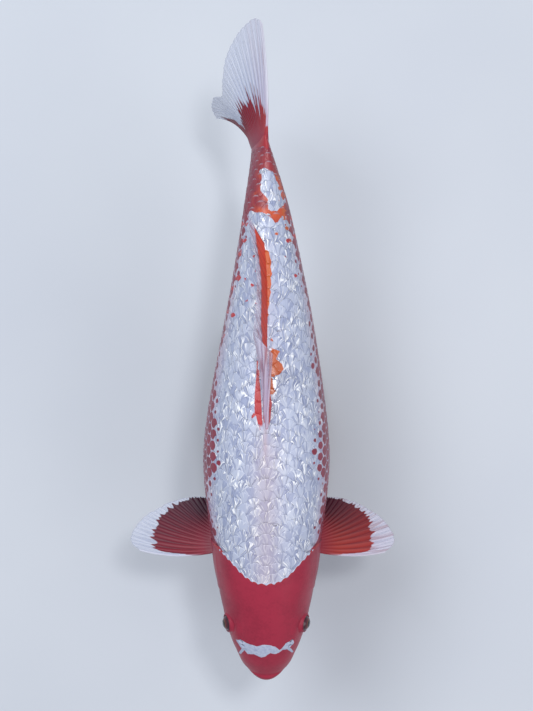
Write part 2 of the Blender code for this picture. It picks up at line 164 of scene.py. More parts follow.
def ring_at(t):
    """The ring number at distance t behind the snout."""
    return np.interp(t, RING_PLACES, RING_STEPS)


def sway(t):
    """How far the spine is bent to +X: a bow behind the middle, less the tail's curl."""
    bow = BOW * np.exp(-(((t - BOW_MIDDLE) / BOW_SPREAD) ** 2))
    return bow - CURL * (np.maximum(t - CURL_START, 0) / (1 - CURL_START)) ** 2


def placed(t, x, z):
    """Body coordinates in metres in the part's frame."""
    roll = ROLL * smoothstep((t - ROLL_START) / (1 - ROLL_START))
    across = sway(t) + x * np.cos(roll) + z * np.sin(roll)
    up = z * np.cos(roll) - x * np.sin(roll)
    return np.stack([across * SL, SNOUT_Y + t * SL, AXIS_Z + up * SL], axis=-1)


def surface(r, theta):
    """The body's surface at ring r and angle theta from the top, +X side positive.

    Each ring is a superellipse whose upper and lower halves have heights of their own.
    """
    t, half, top, bottom, wide, trail, chin = ring_sizes(np.asarray(r, float))
    power = 2 / (2.0 + 0.30 * smoothstep((t - 0.05) / 0.20) * (1 - smoothstep((t - 0.7) / 0.25)))
    s, c = np.sin(theta), np.cos(theta)
    reach = np.where(c > 0, top - wide, wide - bottom)
    x = half * np.sign(s) * np.abs(s) ** power
    z = wide + reach * np.sign(c) * np.abs(c) ** power
    return placed(t + trail * s * s + chin * (1 - c) / 2, x, z)


def outward(r, theta):
    """The surface's unit normal, from steps of the surface along both parameters."""
    dr, da = 0.02, 0.004
    low, high = np.maximum(r - dr, 0), np.minimum(r + dr, LAST_RING)
    along = surface(high, theta) - surface(low, theta)
    around = surface(r, theta + da) - surface(r, theta - da)
    normal = np.cross(around, along)
    return normal / np.maximum(np.linalg.norm(normal, axis=-1, keepdims=True), 1e-12)


def gill_line(theta):
    """How far back the head reaches at angle theta, from the nape or the throat to the flank."""
    return through(GILL_ANGLES, GILL_REACH, np.arccos(np.clip(np.cos(theta), -1, 1)))


def cheek_line(theta):
    """The gill cover's front edge at angle theta: upright behind the eye, then forward."""
    return 0.174 - 0.052 * smoothstep((np.abs(theta) - math.radians(85)) / math.radians(70))


# ---------------------------------------------------------------------------------------
# Meshes
# ---------------------------------------------------------------------------------------

def grid_faces(rows, columns, wrap=False):
    """The quads of a grid of points numbered row by row, joined round if it wraps."""
    i = np.arange(rows - 1)[:, None]
    j = np.arange(columns if wrap else columns - 1)[None, :]
    k = (j + 1) % columns
    quads = np.stack([i * columns + j, i * columns + k, (i + 1) * columns + k,
                      (i + 1) * columns + j], axis=-1)
    return quads.reshape(-1, 4)


def cap_faces(rows, columns):
    """Triangles that close a wrapped grid's first and last rows with the two points after it."""
    first = np.arange(columns)
    after = (first + 1) % columns
    last = (rows - 1) * columns
    return np.concatenate([
        np.stack([after, first, np.full(columns, rows * columns)], axis=-1),
        np.stack([last + first, last + after, np.full(columns, rows * columns + 1)], axis=-1),
    ])


def grid_uv(rows, columns, wrap=False):
    """Each face corner's place on the grid, from 0 to 1 both ways, in grid_faces's order."""
    i = np.arange(rows - 1)[:, None] + np.zeros((1, columns if wrap else columns - 1))
    j = np.arange(columns if wrap else columns - 1)[None, :] + np.zeros((rows - 1, 1))
    across = columns if wrap else columns - 1
    u = np.stack([i, i, i + 1, i + 1], axis=-1) / (rows - 1)
    v = np.stack([j, j + 1, j + 1, j], axis=-1) / across
    return np.stack([u.reshape(-1), v.reshape(-1)], axis=-1)


def facing_out(points, faces, uvs):
    """A closed mesh's faces and uv maps, reversed if its volume comes out negative."""
    volume = 0.0
    for part in faces:
        first = points[part[:, 0]]
        for k in range(1, part.shape[1] - 1):
            volume += np.sum(first * np.cross(points[part[:, k]], points[part[:, k + 1]]))
    if volume > 0:
        return faces, uvs
    turned = {}
    for label, values in uvs.items():
        values, start, flipped = np.asarray(values, float), 0, []
        for part in faces:
            block = values[start:start + part.size].reshape(len(part), part.shape[1], 2)
            flipped.append(block[:, ::-1].reshape(-1, 2))
            start += part.size
        turned[label] = np.concatenate(flipped)
    return [part[:, ::-1] for part in faces], turned


def new_piece(name, points, faces, material, fields=None, uvs=None):
    """A closed mesh object from arrays: points, and face arrays of one corner count each.

    A field is a number or a vector at each point; a uv map is a place for each face corner.
    """
    mesh = bpy.data.meshes.new(name)
    points = np.asarray(points, float).reshape(-1, 3)
    faces, uvs = facing_out(points, faces, uvs or {})
    corners = np.concatenate([part.reshape(-1) for part in faces]).astype(np.int32)
    sizes = np.concatenate([np.full(len(part), part.shape[1]) for part in faces])
    starts = np.concatenate([[0], np.cumsum(sizes)[:-1]]).astype(np.int32)
    mesh.vertices.add(len(points))
    mesh.vertices.foreach_set("co", points.ravel())
    mesh.loops.add(len(corners))
    mesh.loops.foreach_set("vertex_index", corners)
    mesh.polygons.add(len(starts))
    mesh.polygons.foreach_set("loop_start", starts)
    mesh.update(calc_edges=True)
    for label, values in (fields or {}).items():
        values = np.asarray(values, float)
        flat = values.ndim == 1
        layer = mesh.attributes.new(label, "FLOAT" if flat else "FLOAT_VECTOR", "POINT")
        layer.data.foreach_set("value" if flat else "vector", values.ravel())
    for label, values in uvs.items():
        layer = mesh.uv_layers.new(name=label)
        layer.data.foreach_set("uv", np.asarray(values, float).ravel())
    mesh.shade_smooth()
    mesh.materials.append(material)
    piece = bpy.data.objects.new(name, mesh)
    bpy.context.scene.collection.objects.link(piece)
    return piece


def assign(piece, slot, *nodes):
    """Fix a piece to the model, and hide the solids that it stands for. The slot is not used."""
    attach(piece, "root")
    if nodes:
        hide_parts(*nodes)


def tube(path, radii, sides):
    """Rings of points carried along a path, with a point at each end, and their faces.

    Each ring stands across the path's direction, on two axes that turn as little as they can.
    """
    path, radii = np.asarray(path, float), np.asarray(radii, float)
    ahead = np.gradient(path, axis=0)
    ahead /= np.linalg.norm(ahead, axis=1, keepdims=True)
    side = np.cross(ahead, [0.0, 0.0, 1.0])
    side = np.where(np.linalg.norm(side, axis=1, keepdims=True) < 1e-3, [[1.0, 0, 0]], side)
    side /= np.linalg.norm(side, axis=1, keepdims=True)
    up = np.cross(side, ahead)
    turn = np.linspace(0, TURN, sides, endpoint=False)[None, :, None]
    rings = path[:, None] + radii[:, None, None] * (np.cos(turn) * side[:, None]
                                                    + np.sin(turn) * up[:, None])
    points = np.concatenate([rings.reshape(-1, 3), path[:1] - ahead[:1] * radii[0] * 0.6,
                             path[-1:] + ahead[-1:] * radii[-1] * 0.6])
    return points, [grid_faces(len(path), sides, wrap=True)[:, ::-1],
                    cap_faces(len(path), sides)[:, ::-1]]


# ---------------------------------------------------------------------------------------
# Materials
# ---------------------------------------------------------------------------------------

class Value:
    """A node's output that Python's arithmetic works on, adding a Math node each time."""

    def __init__(self, paint, socket):
        self.paint, self.socket = paint, socket

    def __add__(self, other):
        return self.paint.math("ADD", self, other)

    def __sub__(self, other):
        return self.paint.math("SUBTRACT", self, other)

    def __rsub__(self, other):
        return self.paint.math("SUBTRACT", other, self)

    def __mul__(self, other):
        return self.paint.math("MULTIPLY", self, other)

    def __truediv__(self, other):
        return self.paint.math("DIVIDE", self, other)

    def __pow__(self, other):
        return self.paint.math("POWER", self, other)

    def __rtruediv__(self, other):
        return self.paint.math("DIVIDE", other, self)

    __radd__, __rmul__ = __add__, __mul__


class Paint:
    """A material: its Principled shader, with nodes added one at a time."""

    def __init__(self, name, **fixed):
        self.material = bpy.data.materials.new(name)
        self.material.use_nodes = True
        self.shader = self.material.node_tree.nodes["Principled BSDF"]
        for label, value in fixed.items():
            self.feed(self.shader.inputs[label.replace("_", " ").title().replace("Ior", "IOR")],
                      value)

    def feed(self, socket, value):
        if isinstance(value, Value):
            self.material.node_tree.links.new(value.socket, socket)
        elif isinstance(value, tuple) and len(value) == 3 and socket.type == "RGBA":
            socket.default_value = (*value, 1.0)
        else:
            socket.default_value = value

    def node(self, kind, settings, inputs, output=0):
        made = self.material.node_tree.nodes.new(kind)
        for label, value in settings.items():
            setattr(made, label, value)
        for label, value in inputs.items():
            self.feed(made.inputs[label], value)
        return Value(self, made.outputs[output])

    def math(self, operation, *values):
        return self.node("ShaderNodeMath", {"operation": operation}, dict(enumerate(values)))

    def smooth(self, value, low, high):
        """0 below low, 1 above high, and a smooth rise between."""
        return self.node("ShaderNodeMapRange", {"interpolation_type": "SMOOTHSTEP"},
                         {"Value": value, "From Min": low, "From Max": high})

    def mix(self, first, second, share):
        """The first colour where share is 0 and the second where it is 1."""
        return self.node("ShaderNodeMix", {"data_type": "RGBA"},
                         {0: share, 6: first, 7: second}, output=2)

    def noise(self, place, scale, detail, rough):
        return self.node("ShaderNodeTexNoise", {}, {"Vector": place, "Scale": scale,
                                                    "Detail": detail, "Roughness": rough})

    def field(self, label):
        return self.node("ShaderNodeAttribute", {"attribute_name": label}, {}, output=2)

    def place(self):
        return self.node("ShaderNodeTexCoord", {}, {}, output=3)

    def uv(self, label):
        """The two coordinates of a uv map as values."""
        place = self.node("ShaderNodeUVMap", {"uv_map": label}, {})
        return [self.node("ShaderNodeSeparateXYZ", {}, {0: place}, output=k) for k in (0, 1)]

    def vector(self, x, y, z):
        return self.node("ShaderNodeCombineXYZ", {}, {0: x, 1: y, 2: z})

    def scaled(self, vector, sizes):
        return self.node("ShaderNodeVectorMath", {"operation": "MULTIPLY"},
                         {0: vector, 1: sizes})

    def relief(self, height, distance, strength=1.0):
        """Small relief on the surface, its height from 0 to 1 standing for the distance."""
        normal = self.node("ShaderNodeBump", {}, {"Strength": strength, "Distance": distance,
                                                  "Height": height})
        self.feed(self.shader.inputs["Normal"], normal)

    def colour(self, value):
        self.feed(self.shader.inputs["Base Color"], value)

    def roughness(self, value):
        self.feed(self.shader.inputs["Roughness"], value)


# ---------------------------------------------------------------------------------------
# Markings
# ---------------------------------------------------------------------------------------

# Outlines of the markings: each point's millimetres behind the snout and millimetres to +X.
# The white band over the snout, with two horns at each end.
SNOUT_BAND = (
    (42, -30), (43, -24), (40, -19), (37.5, -9), (39.5, -3), (39, 4), (37, 9), (33, 13),
    (36, 16), (40, 19), (43, 26), (39, 27), (35, 23), (28, 27), (28, 25), (33, 20.5),
    (33, 16), (30, 12), (29, 8), (30.5, 4), (26.5, -1), (25, -5), (28.5, -12), (28, -18),
    (32, -21), (26, -25), (27, -27), (33, -24), (39, -28),
)
# Orange blotches beside the dorsal fin's front.
BLOTCHES = (
    ((325, 3), (325, 7), (322, 13), (320, 13), (317, 10), (315, 9), (315, 3)),
    ((316, 3), (314, 11), (308, 17), (304, 15.5), (300, 12), (300, 8), (298, 3)),
    ((299, 2.5), (298, 6), (289, 6.5), (286, 9.5), (283, 7), (279, 4), (286, 2)),
)
# Red stripes on both sides of the dorsal fin's front foot, and a dash beside the left one.
STRIPES = (
    ((297, 2.5), (282, 3.5), (274, 5), (266, 4), (259, 3.5), (252, 2), (259, 1), (286, 1)),
    ((317, -8.5), (298, -9), (282, -10.5), (271, -10.5), (259, -8.5), (247, -5), (255, -4),
     (274, -5), (290, -6), (317, -7.5)),
    ((267, -10), (262, -13.5), (260, -13.5), (263, -10)),
)
# The white patch within the red over the tail root, and the red's front edge across the back.
TAIL_PATCH = (
    (497, -8), (499, -2), (495, 7), (487, 9.5), (484, 13), (475, 16), (466, 21), (461, 13),
    (458, 12), (457, 4), (460, 1.5), (468, 2), (474, -2.5), (478, -6), (482, -6),
    (485, -4), (490, -5.5), (492, -4),
)
SADDLE_EDGE = (
    (452, -23), (452, -18), (457, -17), (459, -14.5), (456, -11), (456, -6), (453, 2),
    (450, 6), (446, 7.5), (445, 10), (447, 12.5), (452, 13.5), (453, 16),
)
# Small spots on the back behind the middle and before the tail, each with its radius: red,
# and orange ones.
RED_SPOTS = (
    (413, -12, 1.7), (399, -10, 1.4), (385, -13.5, 2.1), (391, -21, 2.0), (393, -27, 3.0),
    (371, -19, 1.7), (357, -32, 2.5), (337, -40, 2.4), (416, -26, 2.1), (420, -24, 1.7),
    (368, -9, 1.6), (384, -32, 2.6), (361, -37, 2.1), (414, 19, 1.8), (429, 21, 2.3),
    (395, 28, 1.9), (445, -19, 2.1), (430, -21, 2.6), (447, -23, 2.1), (435, 28, 2.4),
    (445, 27, 2.4), (453, 25, 2.4),
)
ORANGE_SPOTS = (
    (333, 5, 1.9), (339, 3, 1.4), (490, 10, 2.2), (480, 13, 2.1), (435, 10, 1.8),
    (474, 18, 2.0), (459, 17, 2.2), (451, 17, 2.2), (441, 20, 2.2), (430, 23, 2.0),
)
# The orange fringe along the dorsal fin's foot: its outer edge, which the scales scallop, and
# the scallops' height, the place of one of them and their spacing, in millimetres.
FRINGE = ((338, -1), (347, 1), (364, 2), (377, 4), (398, 5), (412, 4), (420, 0.5))
SCALLOP_HEIGHT, SCALLOP_PLACE, SCALLOP_STEP = 0.7, 407, 10
# How far round from the top, in degrees, the flank's red begins on the -X and +X sides.
FLANK_PLACES = (0.26, 0.30, 0.34, 0.37, 0.40, 0.43, 0.47, 0.51, 0.54, 0.59, 0.64, 0.70, 0.75,
                0.81, 0.85, 0.90)
FLANK_EDGES = {
    -1: (60, 64, 70, 60, 49, 43, 47, 54, 57, 69, 66, 64, 54, 51, 46, 40),
    1: (64, 61, 61, 63, 50, 45, 50, 57, 59, 54, 61, 59, 56, 53, 43, 38),
}
# Where the shoulder's unbroken red ends: the angle from the top in degrees, and millimetres
# behind the snout.
SHOULDER_END = ((0, 0), (50, 132), (65, 141), (68, 145), (75, 172), (110, 172), (130, 125),
                (180, 0))
# Where the flank's red begins to fade under the belly, in degrees from the top.
BELLY_EDGE = 122
# A field's value where a mark is nowhere near.
FAR = -99.0


def inside(outline, t, x):
    """How far inside a closed outline a place is, in millimetres, and negative outside it.

    The distance is that to the nearest side. A place is inside where a line from it to -X
    crosses the outline an odd number of times.
    """
    corners, y = np.array(outline, float), t * SL * 1000
    nearest, within = np.full(np.shape(t), 1e3), np.zeros(np.shape(t), bool)
    for (y0, x0), (y1, x1) in zip(corners, np.roll(corners, -1, axis=0)):
        dy, dx = y1 - y0, x1 - x0
        share = np.clip(((y - y0) * dy + (x - x0) * dx) / (dy * dy + dx * dx), 0, 1)
        nearest = np.minimum(nearest, np.hypot(y - y0 - share * dy, x - x0 - share * dx))
        crossed = (y0 > y) != (y1 > y)
        within ^= crossed & (x > x0 + (y - y0) * dx / (dy if dy else 1.0))
    return np.where(within, nearest, -nearest)


def spotted(spots, t, x):
    """How far inside the nearest of some round spots a place is, in millimetres."""
    return np.max([radius - np.hypot(t * SL * 1000 - y0, x - x0) for y0, x0, radius in spots],
                  axis=0)


def fringe(t, x):
    """How far inside the orange fringe along the dorsal fin's foot a place is, in mm."""
    y = t * SL * 1000
    edge = np.interp(y, *zip(*FRINGE)) + SCALLOP_HEIGHT * np.cos(
        TURN * (y - SCALLOP_PLACE) / SCALLOP_STEP)
    ends = np.minimum(y - FRINGE[0][0], FRINGE[-1][0] - y)
    return np.minimum(np.minimum(edge - x, x + 4.0), ends)


def solid_red(t, theta, x):
    """How far inside the unbroken red a place is, in millimetres.

    It covers the shoulders behind the gill covers, and the back and sides before the tail
    except for a white patch.
    """
    around, y = np.degrees(np.abs(theta)), t * SL * 1000
    shoulder = np.interp(around, *zip(*SHOULDER_END)) - y
    front, across = zip(*SADDLE_EDGE)
    saddle = y - np.interp(x, across, front)
    saddle = np.minimum(saddle, np.maximum(BELLY_EDGE + 20 - around, 0) * 0.4 - 1.0
                        + 60 * smoothstep((t - 0.93) / 0.03))
    return np.maximum(shoulder, np.minimum(saddle, -inside(TAIL_PATCH, t, x)))


def flank_red(t, theta):
    """How deep in the flank's net of red spots a place is: 0 at its edge, 1 a scale inside.

    The net begins at an edge that wanders along each side, and fades under the belly.
    """
    side, around = np.sign(theta) + (theta == 0), np.degrees(np.abs(theta))
    edge = np.where(side > 0, np.interp(t, FLANK_PLACES, FLANK_EDGES[1]),
                    np.interp(t, FLANK_PLACES, FLANK_EDGES[-1]))
    return (around - edge) / 9 - 4.0 * smoothstep((around - BELLY_EDGE) / 30)


def marks(t, theta, x):
    """The fields that skin and scales share: drawing and unbroken red, in millimetres inside."""
    upper = np.abs(theta) < math.pi / 2
    red = np.max([inside(outline, t, x) + 0.4 for outline in STRIPES]
                 + [spotted(RED_SPOTS, t, x)], axis=0)
    orange = np.max([inside(outline, t, x) for outline in BLOTCHES]
                    + [spotted(ORANGE_SPOTS, t, x), fringe(t, x)], axis=0)
    behind = smoothstep((t - 0.84) / 0.03)
    return {
        "drawn_red": np.where(upper, red, FAR),
        "drawn_orange": np.where(upper, orange, FAR),
        "solid": solid_red(t, theta, x),
        "warmth": behind * (1 - smoothstep((np.degrees(np.abs(theta)) - 40) / 35))
        * (1 - 0.8 * smoothstep((t - 0.930) / 0.03)) * (0.1 + 0.9 * smoothstep((x + 16) / 11)),
        "rosy": bell(x, 13.0) * (1 - smoothstep((t - 0.42) / 0.10)) + 1.2 * bell(x + 0.5, 1.6)
        * smoothstep((t - 0.41) / 0.05) * (1 - smoothstep((t - 0.49) / 0.03)),
        "dusky": smoothstep((np.degrees(np.abs(theta)) - 46) / 26),
    }


# ---------------------------------------------------------------------------------------
# Skin
# ---------------------------------------------------------------------------------------

# Creases on each side of the head: their two ends behind, beside and over the snout's middle,
# their depth and their width.
CREASES = (
    ((0.031, 0.031, -0.014), (0.056, 0.050, -0.024), 0.0008, 0.0018),
    ((0.030, 0.027, -0.028), (0.070, 0.040, -0.056), 0.0009, 0.0018),
    ((0.030, 0.037, 0.004), (0.052, 0.052, -0.006), 0.0005, 0.0020),
    ((0.088, 0.068, 0.002), (0.118, 0.078, -0.004), 0.0005, 0.0018),
    ((0.118, 0.078, -0.004), (0.146, 0.080, 0.018), 0.0005, 0.0018),
    ((0.070, 0.000, -0.070), (0.160, 0.000, -0.096), 0.0014, 0.0030),
    ((0.078, 0.030, -0.062), (0.150, 0.048, -0.080), 0.0009, 0.0020),
)


def body_place(points):
    """Points as distances behind, beside and over the snout's middle, where nothing is bent."""
    return np.stack([(points[..., 1] - SNOUT_Y) / SL, points[..., 0] / SL,
                     (points[..., 2] - AXIS_Z) / SL], axis=-1)


def head_relief(rings, theta, points):
    """The height of the head's features over its plain form, in metres.

    Grooves and swellings are bell curves of the distance to a line, in metres: the lip's
    groove, the cheek line, the gill cover with its seam and rim, creases and nostril pits.
    """
    place = body_place(points)
    t, side = place[..., 0], np.abs(theta)
    cover = (smoothstep((side - math.radians(60)) / 0.28)
             * (1 - smoothstep((side - math.radians(146)) / 0.30)))
    cheek = (t - cheek_line(theta)) * SL
    rim = (t - gill_line(theta)) * SL
    span = np.clip((t - cheek_line(theta)) / (gill_line(theta) - cheek_line(theta)), 0, 1)
    below = smoothstep((side - math.radians(84)) / 0.30)
    lift = cover * (0.0011 * np.sin(math.pi * span) + 0.0004 * bell(cheek - 0.0032, 0.0028)
                    - (0.0002 + 0.0008 * below) * bell(cheek, 0.0014)
                    + 0.0006 * bell(rim + 0.0015, 0.0034))
    seam = (side - math.radians(127) + 0.35 * (span - 0.5)) * 0.050
    lift = lift - 0.0006 * cover * bell(seam, 0.0011) * smoothstep(span / 0.1)
    ribs = np.sin(side * 46 + 5 * span) * smoothstep((span - 0.15) / 0.3)
    lift = lift + 0.00012 * cover * ribs * (side < math.radians(122))
    upper = 1 - smoothstep((side - math.radians(80)) / 0.5)
    lift = lift - 0.0008 * bell(rings - 5.0, 0.30) * (1 - 0.95 * upper)
    lift = lift - 0.0009 * bell(np.linalg.norm(
        place - [0.150, 0.0, 0.050] - np.stack([0 * t, np.sign(place[..., 1]) * 0.066, 0 * t],
                                               axis=-1), axis=-1) * SL, 0.013)
    for start, end, depth, width in CREASES:
        flat = np.stack([t, np.abs(place[..., 1]), place[..., 2]], axis=-1)
        line = np.subtract(end, start)
        share = np.clip(((flat - start) @ line) / (line @ line), 0, 1)
        gap = np.linalg.norm(flat - start - share[..., None] * line, axis=-1) * SL
        fade = 0.35 + 0.65 * np.sin(math.pi * np.clip(share, 0.02, 0.98))
        lift = lift - depth * fade * bell(gap, width)
    for shift, turn, depth, width in ((-0.0042, -0.5, 0.0022, 0.0013),
                                      (0.0036, 0.9, 0.0026, 0.0017)):
        for mirror in (-1, 1):
            pit = surface(ring_at(NOSTRIL_T + shift), mirror * (NOSTRIL_ANGLE
                                                                + math.radians(turn)))
            gap = np.linalg.norm(points - pit, axis=-1)
            lift = lift - depth * bell(gap, width) + 0.0005 * bell(gap - 0.0030, 0.0012)
    return lift


def around_eyes(points, radius, opening):
    """Skin drawn over the eyeballs up to a round opening, and sunk behind them within it.

    Near an eye, a point's height along the eye's axis becomes the larger of its own and a
    sphere's just over the eyeball, blended smoothly; points by the rim are moved onto it.
    """
    points = points.copy()
    for mirror in (-1, 1):
        middle = placed(EYE_T, mirror * EYE_X, EYE_Z)
        axis = EYE_AXIS * [mirror, 1, 1]
        axis = axis / np.linalg.norm(axis)
        away = points - middle
        height = away @ axis
        flat = away - height[..., None] * axis
        reach = np.linalg.norm(flat, axis=-1)
        near = (reach < 0.020) & (height > -0.004)
        snapped = np.where(np.abs(reach - opening) < 0.0006, opening, reach)
        shell = np.sqrt(np.maximum((radius + 0.0006) ** 2 - snapped ** 2, 0))
        blend = 0.0016
        drawn = blend * np.logaddexp(height / blend, shell / blend)
        drawn = height + (drawn - height) * (1 - smoothstep((reach - 0.011) / 0.008))
        drawn = drawn + 0.0005 * bell(snapped - opening - 0.0008, 0.0009)
        sunk = np.minimum(height, shell - 0.0045)
        level = np.where(snapped < opening - 1e-6, sunk, drawn)
        moved = middle + axis * level[..., None] + flat * (
            snapped / np.maximum(reach, 1e-9))[..., None]
        points = np.where(near[..., None], moved, points)
    return points


def skin_angles(columns):
    """Angles round the body, closer together where the eyes, nostrils and cheeks are."""
    fine = np.linspace(-math.pi, math.pi, 2001)
    crowd = 1 + 0.9 * bell(np.abs(fine) - math.radians(62), math.radians(34))
    total = np.concatenate([[0], np.cumsum((crowd[1:] + crowd[:-1]) / 2)])
    return np.interp(np.linspace(0, total[-1], columns, endpoint=False), total, fine)


def skin_grid(columns, coat):
    """The ring numbers and depths of the skin's rows, the angles, and the first row behind
    the gills.

    Rows run from inside the mouth over the lips to the gill line, drop down the gill slit,
    and go on under the scales to the tail fin's root, where the skin comes up again.
    """
    theta = skin_angles(columns)
    gill = gill_line(theta)
    rows = [np.full(columns, r) for r in np.linspace(0.0, 2.0, 9)[:-1]]
    rows += [np.full(columns, r) for r in np.linspace(2.0, SNOUT_RING, 35)[:-1]]
    rows += [np.full(columns, r) for r in np.linspace(SNOUT_RING, CHEEK_RING, 27)[:-1]]
    edge = ring_at(gill)
    rows += [CHEEK_RING + (edge - CHEEK_RING) * s for s in np.linspace(0, 1, 140)]
    depths = [np.zeros(columns)] * len(rows)
    slit = (smoothstep((np.abs(theta) - math.radians(58)) / 0.30)
            * (1 - 0.6 * smoothstep((np.abs(theta) - math.radians(165)) / 0.2)))
    behind = len(rows)
    for gap, extra in ((0.0003, 0.0016), (0.0012, 0.0018), (0.0024, 0.0010), (0.0045, 0.0)):
        rows.append(ring_at(gill + gap / SL))
        depths.append(coat + extra * slit)
    start = ring_at(gill + 0.006 / SL)
    for s in np.linspace(0, 1, 110):
        ring = start + (LAST_RING - start) * s
        rows.append(ring)
        depths.append(coat * (1 - smoothstep((ring_sizes(ring)[0] - 0.992) / 0.014)))
    return np.stack(rows), np.stack(depths), theta, behind


def skin_paint(colours):
    """Wet skin: crimson with faint clouds, a white band and patches with ragged edges, and
    painted shade in its hollows.
    """
    paint = Paint("koi_skin", roughness=0.44, coat_weight=0.16, coat_roughness=0.18,
                  specular_ior_level=0.26)
    place = paint.place()
    cloud = paint.noise(place, 38.0, 4.0, 0.6)
    fine = paint.noise(place, 420.0, 3.0, 0.6)
    grain = paint.noise(place, 1500.0, 2.0, 0.5)
    red = paint.mix(tuple(colours.head_red), tuple(colours.head_deep),
                    paint.smooth(cloud + (fine - 0.5) * 0.5, 0.35, 0.75))
    red = paint.mix(red, tuple(colours.flank_red),
                    paint.smooth(paint.field("sideways"), 0.0, 1.0) * 0.75)
    red = paint.mix(red, tuple(colours.orange), paint.field("warmth") * 0.8)
    red = paint.mix(red, tuple(colours.orange), paint.field("fringe") * 0.25)
    pearl = paint.mix(tuple(colours.pearl), tuple(colours.pearl_shade),
                      paint.smooth(fine, 0.3, 0.8))
    ragged = (paint.noise(place, 300.0, 3.0, 0.6) - 0.5) * 1.6
    colour = paint.mix(red, pearl, paint.smooth(paint.field("pale") + ragged, -0.3, 0.3))
    colour = paint.mix(colour, tuple(colours.blush), paint.field("throat"))
    # Painted shade: the pit colour where the dark field lies, in the mouth, gill slit, nostril
    # pits and the head's grooves.
    colour = paint.mix(colour, tuple(colours.pit), paint.field("dark"))
    paint.colour(colour)
    paint.roughness(paint.smooth(cloud, 0.2, 0.9) * 0.14 + 0.37)
    paint.relief(fine * 0.6 + grain * 0.4, 0.00025, 0.5)
    return paint.material


def skin_fields(count, **given):
    """The skin paint's fields at a number of points, nought but for those given."""
    labels = ("pale", "dark", "warmth", "sideways", "fringe", "throat")
    return {label: np.broadcast_to(given.get(label, 0.0), count) for label in labels}


def make_skin(sizes, colours):
    """One closed skin over the head and the body, lying under the scales by their depth."""
    rings, depths, theta, behind = skin_grid(SKIN_COLUMNS, sizes.coat)
    angles = theta[None, :] + 0 * rings
    plain = surface(rings, angles)
    normals = outward(rings, angles)
    on_head = (np.arange(len(rings)) < behind)[:, None]
    relief = head_relief(rings, angles, plain) * smoothstep((rings - 2.0) / 2.5)
    lift = np.where(on_head, relief, 0.0) - depths
    lift[behind:] += relief[behind - 1] * np.exp(-np.arange(len(rings) - behind) / 2)[:, None]
    points = around_eyes(plain + normals * lift[..., None], sizes.eye_radius,
                         sizes.eye_opening)
    place = body_place(points)
    t, x = place[..., 0], points[..., 0] * 1000
    side = np.degrees(np.abs(angles))
    drawn = marks(t, angles, x)
    upper = side < 95
    nape = (t - gill_line(angles)) * SL * 1000 + 0.6 + 1.1 * np.cos(side * 0.9)
    band = np.where(upper, inside(SNOUT_BAND, t, x), FAR)
    band = np.maximum(band, np.where(side < 56, nape, FAR))
    reds = np.max([5.0 * flank_red(t, angles), drawn["solid"], drawn["drawn_red"],
                   drawn["drawn_orange"]], axis=0)
    pale = np.where(on_head, band, -reds)
    # The dark field is painted shade: inside the mouth, in the nostril pits, along the cheek
    # groove and a line on the gill cover, and, from the slit's depth, down the gill slit.
    dark = np.where(rings < 2.3, smoothstep((2.3 - rings) / 0.8), 0.0)
    slit = smoothstep((depths - sizes.coat - 0.0002) / 0.001)
    for mirror in (-1, 1):
        for shift, width in ((-0.0042, 0.0011), (0.0036, 0.0015)):
            pit = surface(ring_at(NOSTRIL_T + shift), mirror * NOSTRIL_ANGLE)
            dark = np.maximum(dark, 0.70 * bell(np.linalg.norm(plain - pit, axis=-1), width))
    rim = (t - gill_line(angles)) * SL
    sides = smoothstep((side - 72) / 18) * (1 - smoothstep((side - 138) / 14)) * on_head
    dark = np.maximum(dark, 0.40 * sides * bell((t - cheek_line(angles)) * SL, 0.0011))
    dark = np.maximum(dark, 0.28 * sides * bell(rim + 0.0062, 0.0013))
    fields = {
        "pale": pale, "dark": np.maximum(dark, slit * 0.8), "warmth": drawn["warmth"],
        "sideways": smoothstep((side - 55) / 40) * smoothstep((t - 0.05) / 0.1),
        "fringe": bell(rim + 0.0004, 0.0012) * (side < 70) * on_head,
        "throat": smoothstep((side - 148) / 26) * 0.75 * (t < 0.9),
    }
    rows, columns = rings.shape
    ends = np.stack([placed(0.031, 0.0, -0.018), placed(1.033, 0.0, 0.0)])
    first = np.arange(columns)
    faces = [grid_faces(rows, columns, wrap=True), cap_faces(rows, columns)]
    cap_uv = np.stack([np.stack([(first + 1) / columns, first / columns,
                                 (first + 0.5) / columns], axis=-1)] * 2)
    cap_row = np.repeat([[[0.0, 0.0, -0.01]], [[1.0, 1.0, 1.01]]], columns, axis=1)
    cap_uv[1] = np.stack([first / columns, (first + 1) / columns, (first + 0.5) / columns],
                         axis=-1)
    bake = np.concatenate([grid_uv(rows, columns, wrap=True),
                           np.stack([cap_row.reshape(-1), cap_uv.reshape(-1)], axis=-1)])
    bake = 0.02 + 0.96 * bake
    padded = {label: np.concatenate([np.broadcast_to(values, rings.shape).reshape(-1),
                                     [values.reshape(-1)[0], values.reshape(-1)[-1]]])
              for label, values in fields.items()}
    skin = new_piece("skin", np.concatenate([points.reshape(-1, 3), ends]), faces,
                     skin_paint(colours), padded, {"OFBake": bake})
    assign(skin, "head_skin", "head", "lower_jaw", "gill_cover_left", "gill_cover_right",
           "trunk", "tail_root")


# ---------------------------------------------------------------------------------------
# Scales
# ---------------------------------------------------------------------------------------

# The scales' spacing along and round the body in metres, by distance behind the snout.
SPACING_PLACES = (0.24, 0.50, 0.70, 0.90, 0.985)
SPACING_ALONG = (0.0104, 0.0106, 0.0121, 0.0116, 0.0082)
SPACING_ROUND = (0.0105, 0.0105, 0.0098, 0.0088, 0.0072)
SCALES_START, SCALES_END = 0.176, 0.988
# Rows are counted up from the lateral line to the back's middle and down to the belly's.
BACK_ROW, BELLY_ROW = 15, -13

